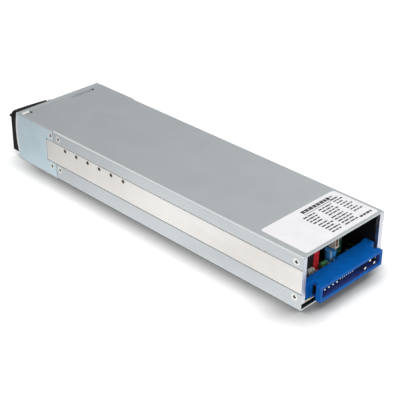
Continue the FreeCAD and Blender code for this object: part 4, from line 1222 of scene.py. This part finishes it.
@dataclass
class Boards(Assembly):
    """Main board, control board, insulating film and the small parts behind the connector.

    Attributes:
        seed: start of the random places of the small parts.
        count: small parts tried.
        near: least x and y of the ground that the small parts stand on.
        far: greatest x and y of that ground.
        clear: space kept round other parts.
        low_part: height over the board under which a part doesn't count as standing on it.
        upright_share: share of the small parts that are tall.
        upright: least and greatest length, width and height of those.
        crossways: share of the small parts that are turned by a quarter.
        chip: length, width and height of the parts that aren't tall.
        chip_cap: half width of the tinned caps on a chip's ends, and how far they stand over it.
        small_edge: radius of the small parts' edges.
        stood: lowest and highest corner and finish of each larger block behind the connector; the black one stands
            beside the red capacitor as painted shade on its near side.
        stood_edge: radius of those blocks' edges.
        film: thickness of the film that lines the rails and the roof.
        film_front: where the film starts along the case.
        film_gap: from the film to the rails and the roof.
        film_short: how far the film ends before other parts.
        film_end: how far before the rails' rear ends it ends.
        sheet_gap: from the ground of the small parts to the film on the board.
        sheet_end: how far before the rails' rear ends that film ends.
        header_wall: thickness of the header's walls.
        header_floor: thickness of its floor.
        insert_gap: how far the brown insert stays off the header's front and top.
        insert_lip: how far it stays off the header's rear.
        insert: height of its floor over the header's underside, reach of its back and thickness of its side.
        insert_edges: radius of the edges of its floor, back and side.
    """

    seed: int = 5
    count: int = 260
    near: Span = (-9.5, 60.0)
    far: Span = (35.5, 138.0)
    clear: float = 0.7
    low_part: float = 3.0
    upright_share: float = 0.3
    upright: tuple[Span, Span, Span] = ((3.4, 5.2), (2.2, 3.0), (4.0, 7.5))
    crossways: float = 0.5
    chip: Point = (2.0, 1.25, 0.6)
    chip_cap: Span = (0.75, 0.08)
    small_edge: float = 0.2
    stood: tuple[tuple[Point, Point, Finish], ...] = (((15.0, 136.2, 5.2), (21.0, 138.7, 15.6), CERAMIC),
                                                      # This black block paints the shade on the red capacitor's near
                                                      # side.
                                                      ((13.4, 129.8, 5.2), (19.4, 135.9, 25.5), BLACK_EPOXY),
                                                      ((1.4, 136.4, 5.2), (7.2, 138.7, 15.0), GREEN_DIP))
    stood_edge: float = 0.3
    film: float = 0.25
    film_front: float = 40.0
    film_gap: float = 0.1
    film_short: float = 1.0
    film_end: float = 2.5
    sheet_gap: float = 2.9
    sheet_end: float = 12.0
    header_wall: float = 0.6
    header_floor: float = 1.2
    insert_gap: float = 0.3
    insert_lip: float = 0.6
    insert: Point = (3.9, 1.2, 0.2)
    insert_edges: Point = (0.1, 0.1, 0.05)
    finishes: dict[str, Finish] = field(default_factory=lambda: {
        "main_board": GREEN_BOARD, "control_board": UPRIGHT_BOARD, "insulating_sheet": BLACK_FILM,
        "board_spacers": TINNED_BRASS, "board_screws": NICKEL_SCREW, "rail_screws": NICKEL_SCREW,
        "control_chips": BLACK_EPOXY, "wafer_header": CREAM_NYLON, "header_pins": TINNED_BRASS,
    })

    def build(self) -> None:
        """Stand the small parts on the main board, draw the header and line the case with film."""
        self.small_parts()
        self.header()
        self.lining()

    def taken(self) -> list[tuple[Vector, Vector]]:
        """Boxes, in millimetres, of the parts that stand on the main board."""
        level = box_mm("main_board")[1].z + self.low_part
        boxes = [box_mm(node) for node in sorted(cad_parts) if node not in ("main_board", "top_cover")]
        return [(low, high) for low, high in boxes
                if low.z < level < high.z and not (low.x < self.near[0] and high.x > self.far[0])]

    def small_parts(self) -> None:
        """Scatter chips and small upright parts where the board is free."""
        draw = random.Random(self.seed)
        ground = box_mm("main_board")[1].z
        slots = {BLACK_EPOXY: "black_plastic", TINNED_BRASS: "brass_parts", GREEN_DIP: None,
                 CREAM_NYLON: "cream_plastic", CERAMIC: "ceramic"}
        meshes = {finish: bmesh.new() for finish in slots}
        boxes = self.taken() + [(Vector(low), Vector(high)) for low, high, _ in self.stood]
        for low, high, finish in self.stood:
            box(meshes[finish], low, high, self.stood_edge)
        for _ in range(self.count):
            x, y = (draw.uniform(*span) for span in zip(self.near, self.far))
            upright = draw.random() < self.upright_share
            long, wide = [draw.uniform(*span) for span in self.upright[:2]] if upright else self.chip[:2]
            if draw.random() < self.crossways:
                long, wide = wide, long
            tall = draw.uniform(*self.upright[2]) if upright else self.chip[2]
            low = Vector((x - long / 2 - self.clear, y - wide / 2 - self.clear))
            high = Vector((x + long / 2 + self.clear, y + wide / 2 + self.clear))
            if any(a.x < high.x and a.y < high.y and b.x > low.x and b.y > low.y for a, b in boxes):
                continue
            boxes.append((low, high))
            body = draw.choice((GREEN_DIP, CREAM_NYLON, BLACK_EPOXY)) if upright else BLACK_EPOXY
            box(meshes[body], (x - long / 2, y - wide / 2, ground), (x + long / 2, y + wide / 2, ground + tall),
                self.small_edge)
            half, stands = self.chip_cap
            for end in () if upright else (-1, 1):
                dx, dy = (long / 2 * end, 0.0) if long > wide else (0.0, wide / 2 * end)
                box(meshes[TINNED_BRASS], (x + dx - half, y + dy - half, ground),
                    (x + dx + half, y + dy + half, ground + tall + stands), self.small_edge)
        for finish, slot in slots.items():
            add_piece("small_parts_" + finish.name, meshes[finish], finish)

    def header(self) -> None:
        """Draw the wafer header as a trough that is open to the rear, with a brown insert behind its pins whose colour
        partly paints the shade in the trough.
        """
        low, high = box_mm("wafer_header")
        left, right, floor = low.x + self.header_wall, high.x - self.header_wall, low.z + self.header_floor
        profile = [(low.x, low.z), (high.x, low.z), (high.x, high.z), (right, high.z), (right, floor), (left, floor),
                   (left, high.z), (low.x, high.z)]
        trough, insert = bmesh.new(), bmesh.new()
        prism(trough, [Vector((x, low.y, z)) for x, z in profile], Vector((0.0, high.y - low.y, 0.0)))
        add_piece("wafer_header_trough", trough, CREAM_NYLON, replaced=["wafer_header"])
        # The brown insert is partly its own colour and partly painted shade inside the trough.
        rise, back, side = self.insert
        rear, top = high.y - self.insert_lip, high.z - self.insert_gap
        corners = ((right, rear, low.z + rise), (right, low.y + back, top), (left + side, rear, top))
        for corner, edge in zip(corners, self.insert_edges):
            box(insert, (left, low.y + self.insert_gap, floor), corner, edge)
        add_piece("wafer_header_insert", insert, PHENOLIC)

    def lining(self) -> None:
        """Line the far rail and the roof with one folded film, and the near rail and the far board with strips."""
        rail = box_mm("side_rail_left")[1]
        near = box_mm("side_rail_right")[0].x
        ground = box_mm("main_board")[1].z
        low, roof = ground + self.film_short, rail.z - self.film_gap
        wall, reach, strip = rail.x + self.film_gap, near - self.film_short, near - self.film_gap
        folded = [(wall, low), (wall + self.film, low), (wall + self.film, roof - self.film),
                  (reach, roof - self.film), (reach, roof), (wall, roof)]
        flat = [(strip - self.film, low), (strip, low), (strip, roof), (strip - self.film, roof)]
        mesh = bmesh.new()
        for profile in (folded, flat):
            prism(mesh, [Vector((x, self.film_front, z)) for x, z in profile],
                  Vector((0.0, rail.y - self.film_end - self.film_front, 0.0)))
        sheet = rounded((wall + self.film_short, self.film_front),
                        (self.near[0] - self.sheet_gap, rail.y - self.sheet_end), self.film_short, ground)
        prism(mesh, sheet, Vector((0.0, 0.0, self.film)))
        add_piece("lining_film", mesh, BLACK_FILM)


@dataclass
class PowerStage(Assembly):
    """Wound parts, capacitors, transistors, relay and fuse.

    Attributes:
        disc: radius of a can's bare top, as a share of its own.
        stands: thickness of the bare top.
        bevel: width of the bevel round the bare top and inside the rolled edge.
        dome: height of the bevel on the bare top.
        vents: score lines on a can's top.
        vent: half width of the score lines.
        vent_reach: length of the score lines against the bare top's width.
        vent_stands: how far the score lines stand over the bare top's edge.
        crimp: height of the rolled edge on a can.
        crimp_in: how far the rolled edge lies inside the can at its foot and at its top.
        copper: two colours of bare-looking winding wire.
        brown: two colours of dark winding wire.
    """

    disc: float = 0.82
    stands: float = 0.12
    bevel: float = 0.2
    dome: float = 0.05
    vents: int = 3
    vent: float = 0.3
    vent_reach: float = 0.8
    vent_stands: float = 0.15
    crimp: float = 0.35
    crimp_in: Span = (0.02, 0.1)
    copper: tuple[str, str] = ("#9A5428", "#8A4A22")
    brown: tuple[str, str] = ("#3A2A20", "#33241B")
    finishes: dict[str, Finish] = field(default_factory=lambda: {
        "transistors_right": BLACK_EPOXY, "transistors_left": BLACK_EPOXY, "transistor_screws": NICKEL_SCREW,
        "line_capacitor": YELLOW_TAPE, "red_capacitor": RED_DIP, "relay": BLACK_EPOXY, "transformer_core": FERRITE,
        "transformer_winding": YELLOW_TAPE, "fuse": CERAMIC, "fuse_clips": TINNED_BRASS,
    })

    def cans(self) -> list[str]:
        """Names of the electrolytic capacitors."""
        return [node for node in sorted(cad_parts) if node.startswith(("bulk_capacitor", "output_capacitor"))]

    def dress(self) -> None:
        """Finish the parts of the power stage."""
        super().dress()
        # Black shrunk sleeve: satin, with one pale stripe.
        for node in self.cans():
            dress(node, ShrunkSleeve("sleeve_black_" + node, "#16181F", "#1B1E27", "#3A3F4C", 0.30, 0.06, 0.0,
                                     (0.8, 0.8, 4.0), 0.01, 8.0, 0.6, 0.4, centre_mm=middle_mm(node)))
        # Bright blue shrunk sleeve of the small can: glossy, with a thin pale stripe that is a painted highlight.
        node = "blue_capacitor"
        dress(node, ShrunkSleeve("sleeve_blue_shrunk", "#4AA5F0", "#3F96E0", "#97CBF5", 0.24, 0.06, 0.0,
                                 (0.8, 0.8, 4.0), 0.01, 5.0, 0.5, 0.4, centre_mm=middle_mm(node),
                                 stripe="#A9D0F2", stripe_turn=0.62, stripe_width=0.02))
        # Enamelled wire: glossy ridges, copper-red or nearly black.
        for node, colours in (("boost_choke", self.copper), ("output_choke", self.copper),
                              ("filter_choke_1", self.brown), ("filter_choke_2", self.brown)):
            dress(node, WoundWire("wire_enamelled_" + node, *colours, "#C98A55", 0.30, 0.05, 0.3,
                                  (0.6, 0.6, 0.6), 0.12, 6.0, 0.3, 0.3, centre_mm=middle_mm(node)))

    def build(self) -> None:
        """Give each can a bare top with vent lines and a rolled edge of sleeve."""
        tops, crimps = bmesh.new(), bmesh.new()
        for node in self.cans():
            low, high = box_mm(node)
            radius = (high.x - low.x) / 2
            foot = Vector(((low.x + high.x) / 2, (low.y + high.y) / 2, high.z))
            flat = radius * self.disc
            turned(tops, [(flat, 0.0), (flat, self.stands), (flat - self.bevel, self.stands + self.dome)], foot)
            for i in range(self.vents):
                turn = math.pi * i / self.vents
                along = Vector((math.cos(turn), math.sin(turn), 0.0)) * flat * self.vent_reach
                across = Vector((-math.sin(turn), math.cos(turn), 0.0)) * self.vent
                prism(tops, [foot + along + across, foot - along + across, foot - along - across,
                             foot + along - across], Vector((0.0, 0.0, self.stands + self.vent_stands)))
            turned(crimps, [(radius - self.crimp_in[0], 0.0), (radius - self.crimp_in[1], self.crimp),
                            (flat + self.bevel, self.crimp), (flat, 0.0)], foot, ends=Ends.JOINED)
        add_piece("can_tops", tops, DRAWN_ALUMINIUM)
        add_piece("can_crimps", crimps, BLACK_EPOXY)


@dataclass(frozen=True)
class SoftBox:
    """A square lamp that looks at the module.

    Attributes:
        name: name of the lamp.
        size: side of its front.
        place: where it hangs.
        watts: how strong it is.
    """

    name: str
    size: float
    place: Point
    watts: float


@dataclass
class Studio:
    """Pale floor, soft light and the camera.

    Attributes:
        floor_size: side of the square floor.
        floor_gap: how far the floor lies under the case, so that the two faces stay apart.
        contact_reach: how far from the module the floor is darkened by it.
        contact_samples: rays with which the floor looks for what shades it.
        contact_lean: how far the floor leans from upright when it looks.
        contact_open: shares of open sky at which the floor is darkest and unshaded.
        contact_dark: how dark the floor gets.
        contact_way: direction in which the shade runs out past the module's near corner.
        contact_past: distances along it between which the shade grows.
        contact_deep: how many times deeper and longer it gets there.
        contact_end: where, across the module, the shade behind the connector is thinnest and full.
        contact_thin: share of the shade that is left at the thin end.
        contact_fade: where, along the module, the shade starts and is full, as the light falls from the front.
        paper: how much light the floor throws back.
        lift: light that the floor adds where it is seen, so that it reads as white.
        pool: where, along the module, the floor that metal shows is darkest and brightest.
        pool_levels: how bright it is there.
        sky_way: direction in which the light tent gets brighter.
        sky: shares of that direction at which the tent is darkest and brightest.
        sky_levels: how bright it is there.
        room: shares of that direction between which the tent opens to the darker room behind the camera.
        room_level: how bright the room is against the tent.
        lamps: the soft boxes, a large one overhead and a small one that looks into the module's rear.
        azimuth: turn of the camera round the module, in degrees.
        elevation: height of the camera above the horizon, in degrees.
        distance: from the middle of the case to the camera.
        target: point that the camera is aimed at.
        focal_px: focal length in pixels of the frame.
        frame_px: side of the square frame in pixels.
        axis_px: where the lens axis meets the frame, from its left and its top.
    """

    floor_size: float = 12000.0
    floor_gap: float = 0.2
    contact_reach: float = 18.0
    contact_samples: int = 16
    contact_lean: Point = (-0.45, -0.38, 0.0)
    contact_open: Span = (0.36, 1.0)
    contact_dark: float = 0.2
    contact_way: Point = (0.88, 0.47, 0.0)
    contact_past: Span = (100.0, 130.0)
    contact_deep: float = 1.55
    contact_end: Span = (-48.0, -12.0)
    contact_thin: float = 0.3
    contact_fade: Span = (-175.0, -115.0)
    paper: float = 0.72
    lift: float = 0.38
    pool: Span = (-230.0, 10.0)
    pool_levels: Span = (0.6, 1.15)
    sky_way: Point = (0.2, 0.95, 0.24)
    sky: Span = (-0.95, -0.25)
    sky_levels: Span = (0.32, 0.952)
    room: Span = (0.1, 0.9)
    room_level: float = 0.45
    lamps: tuple[SoftBox, ...] = (SoftBox("soft_box", 800.0, (420.0, 470.0, 1120.0), 6.4),
                                  SoftBox("fill_box", 260.0, (300.0, 950.0, 420.0), 2.0))
    azimuth: float = 135.5925
    elevation: float = 28.9325
    distance: float = 803.85
    target: Point = (0.0, 0.0, 20.5)
    focal_px: float = 1073.25
    frame_px: float = 400.0
    axis_px: Span = (184.6, 181.4)

    def build(self) -> None:
        """Set up the floor, the world, the lamps and the camera."""
        bpy.context.scene.view_settings.view_transform = "Standard"
        self.floor()
        self.world()
        self.light()
        self.camera()
        LOG.info("studio is set up")

    def floor(self) -> None:
        """Lay a white floor that keeps the shadow and can be seen through from below."""
        half = self.floor_size / 2 * MM
        mesh = bpy.data.meshes.new("studio_floor")
        corners = [(-half, -half), (half, -half), (half, half), (-half, half)]
        mesh.from_pydata([(x, y, -self.floor_gap * MM) for x, y in corners], [], [(0, 1, 2, 3)])
        plane = bpy.data.objects.new("studio_floor", mesh)
        bpy.context.scene.collection.objects.link(plane)
        mesh.materials.append(self.studio_paper())

    def studio_paper(self) -> bpy.types.Material:
        """Make the floor's paper: white where it is seen, graded where metal shows it, clear from below.

        Returns:
            The material.
        """
        made = bpy.data.materials.new("studio_paper_white")
        tree = empty_tree(made)
        spot = add_node(tree, "NewGeometry")
        along = add_node(tree, "SeparateXYZ", None, {0: spot.outputs["Position"]})
        shade = self.contact(tree, spot, along)
        grey = add_node(tree, "CombineColor", None, {channel: shade for channel in range(3)})
        pale = add_node(tree, "VectorMath", {"operation": "SCALE"}, {0: grey, "Scale": self.paper})
        matt = add_node(tree, "BsdfDiffuse", None, {"Color": pale})
        path = add_node(tree, "LightPath")
        lift = add_node(tree, "Math", {"operation": "MULTIPLY"}, {0: path.outputs["Is Camera Ray"], 1: self.lift})
        glow = add_node(tree, "Emission", None, {"Color": grey, "Strength": lift})
        lit = add_node(tree, "AddShader", None, {0: matt, 1: glow})
        mirrored = add_node(tree, "Math", {"operation": "MAXIMUM"},
                            {0: path.outputs["Is Glossy Ray"], 1: path.outputs["Is Transmission Ray"]})
        level = add_node(tree, "MapRange", SMOOTH,
                         {"Value": along.outputs["Y"], "From Min": self.pool[0] * MM, "From Max": self.pool[1] * MM,
                          "To Min": self.pool_levels[0], "To Max": self.pool_levels[1]})
        white = add_node(tree, "Emission", None, {"Strength": level})
        above = add_node(tree, "MixShader", None, {0: mirrored, 1: lit, 2: white})
        clear = add_node(tree, "BsdfTransparent")
        both = add_node(tree, "MixShader", None, {0: spot.outputs["Backfacing"], 1: above, 2: clear})
        add_node(tree, "OutputMaterial", None, {"Surface": both})
        return made

    def contact(self, tree: bpy.types.NodeTree, spot: bpy.types.Node, along: bpy.types.Node) -> bpy.types.NodeSocket:
        """Shade the floor where the module is close.

        Args:
            tree: node tree of the floor's material.
            spot: node that gives the place on the floor and its normal.
            along: node that gives the place's X and Y.

        Returns:
            One where the floor is unshaded, less where it is shaded.
        """
        leant = add_node(tree, "VectorMath", {"operation": "ADD"}, {0: spot.outputs["Normal"], 1: self.contact_lean})
        looks = add_node(tree, "VectorMath", {"operation": "NORMALIZE"}, {0: leant})
        past = add_node(tree, "VectorMath", {"operation": "DOT_PRODUCT"},
                        {0: spot.outputs["Position"], 1: self.contact_way})
        deep = add_node(tree, "MapRange", SMOOTH,
                        {"Value": past, "From Min": self.contact_past[0] * MM,
                         "From Max": self.contact_past[1] * MM, "To Min": 1.0, "To Max": self.contact_deep})
        reach = add_node(tree, "Math", {"operation": "MULTIPLY"}, {0: deep, 1: self.contact_reach * MM})
        close = add_node(tree, "AmbientOcclusion", {"samples": self.contact_samples},
                         {"Distance": reach, "Normal": looks})
        thin = add_node(tree, "MapRange", SMOOTH,
                        {"Value": along.outputs["X"], "From Min": self.contact_end[0] * MM,
                         "From Max": self.contact_end[1] * MM, "To Min": self.contact_thin, "To Max": 1.0})
        gain = add_node(tree, "Math", {"operation": "MULTIPLY"}, {0: deep, 1: thin})
        cover = add_node(tree, "Mix", {"data_type": "FLOAT", "clamp_factor": False},
                         {SHARE: gain, FIRST_NUMBER: 1.0, SECOND_NUMBER: close.outputs["AO"]})
        shade = add_node(tree, "MapRange", None,
                         {"Value": cover, "From Min": self.contact_open[0],
                          "From Max": self.contact_open[1], "To Min": self.contact_dark})
        fade = add_node(tree, "MapRange", SMOOTH,
                        {"Value": along.outputs["Y"], "From Min": self.contact_fade[0] * MM,
                         "From Max": self.contact_fade[1] * MM})
        faded = add_node(tree, "Mix", {"data_type": "FLOAT"}, {SHARE: fade, FIRST_NUMBER: 1.0, SECOND_NUMBER: shade})
        return faded.outputs[0]

    def world(self) -> None:
        """Light the set from all round, greyer in front and behind the camera, and show a white backdrop."""
        world = bpy.data.worlds.new("studio_tent")
        bpy.context.scene.world = world
        tree = empty_tree(world)
        way = add_node(tree, "TexCoord").outputs["Generated"]
        side = add_node(tree, "VectorMath", {"operation": "DOT_PRODUCT"}, {0: way, 1: self.sky_way})
        level = add_node(tree, "MapRange", SMOOTH,
                         {"Value": side, "From Min": self.sky[0], "From Max": self.sky[1],
                          "To Min": self.sky_levels[0], "To Max": self.sky_levels[1]})
        room = add_node(tree, "MapRange", SMOOTH,
                        {"Value": side, "From Min": self.room[0], "From Max": self.room[1],
                         "To Min": 1.0, "To Max": self.room_level})
        both = add_node(tree, "Math", {"operation": "MULTIPLY"}, {0: level, 1: room})
        seen = add_node(tree, "LightPath").outputs["Is Camera Ray"]
        white = add_node(tree, "Math", {"operation": "MAXIMUM"}, {0: both, 1: seen})
        sky = add_node(tree, "Background", None, {"Color": (1.0, 1.0, 1.0, 1.0), "Strength": white})
        add_node(tree, "OutputWorld", None, {"Surface": sky})

    def light(self) -> None:
        """Hang a large soft box over the module and a small one that looks into its rear, both unseen in the metal."""
        for lamp in self.lamps:
            light = bpy.data.lights.new(lamp.name, "AREA")
            light.size = lamp.size * MM
            light.energy = lamp.watts
            holder = bpy.data.objects.new(lamp.name, light)
            holder.location = Vector(lamp.place) * MM
            holder.rotation_euler = (-holder.location).to_track_quat("-Z", "Y").to_euler()
            holder.visible_glossy = False
            bpy.context.scene.collection.objects.link(holder)

    def camera(self) -> None:
        """Stand the camera where the photograph was taken from."""
        turn = math.radians(self.azimuth)
        rise = math.radians(self.elevation)
        back = Vector((math.sin(turn) * math.cos(rise), -math.cos(turn) * math.cos(rise), math.sin(rise)))
        lens = bpy.data.cameras.new("camera")
        lens.lens = self.focal_px / self.frame_px * lens.sensor_width
        lens.shift_x = 0.5 - self.axis_px[0] / self.frame_px
        lens.shift_y = self.axis_px[1] / self.frame_px - 0.5
        eye = bpy.data.objects.new("camera", lens)
        eye.location = (Vector(self.target) + back * self.distance) * MM
        eye.rotation_euler = (-back).to_track_quat("-Z", "Y").to_euler()
        bpy.context.scene.collection.objects.link(eye)
        bpy.context.scene.camera = eye


def main() -> None:
    """Dress the module and set up the studio."""
    logging.basicConfig(level=logging.INFO, format="%(name)s: %(message)s")
    for kind in (Case, Fasteners, NamePlate, FrontPanel, RearConnector, Boards, PowerStage):
        assembly = kind()
        assembly.dress()
        assembly.build()
    Studio().build()


if __name__ == "__main__":
    main()
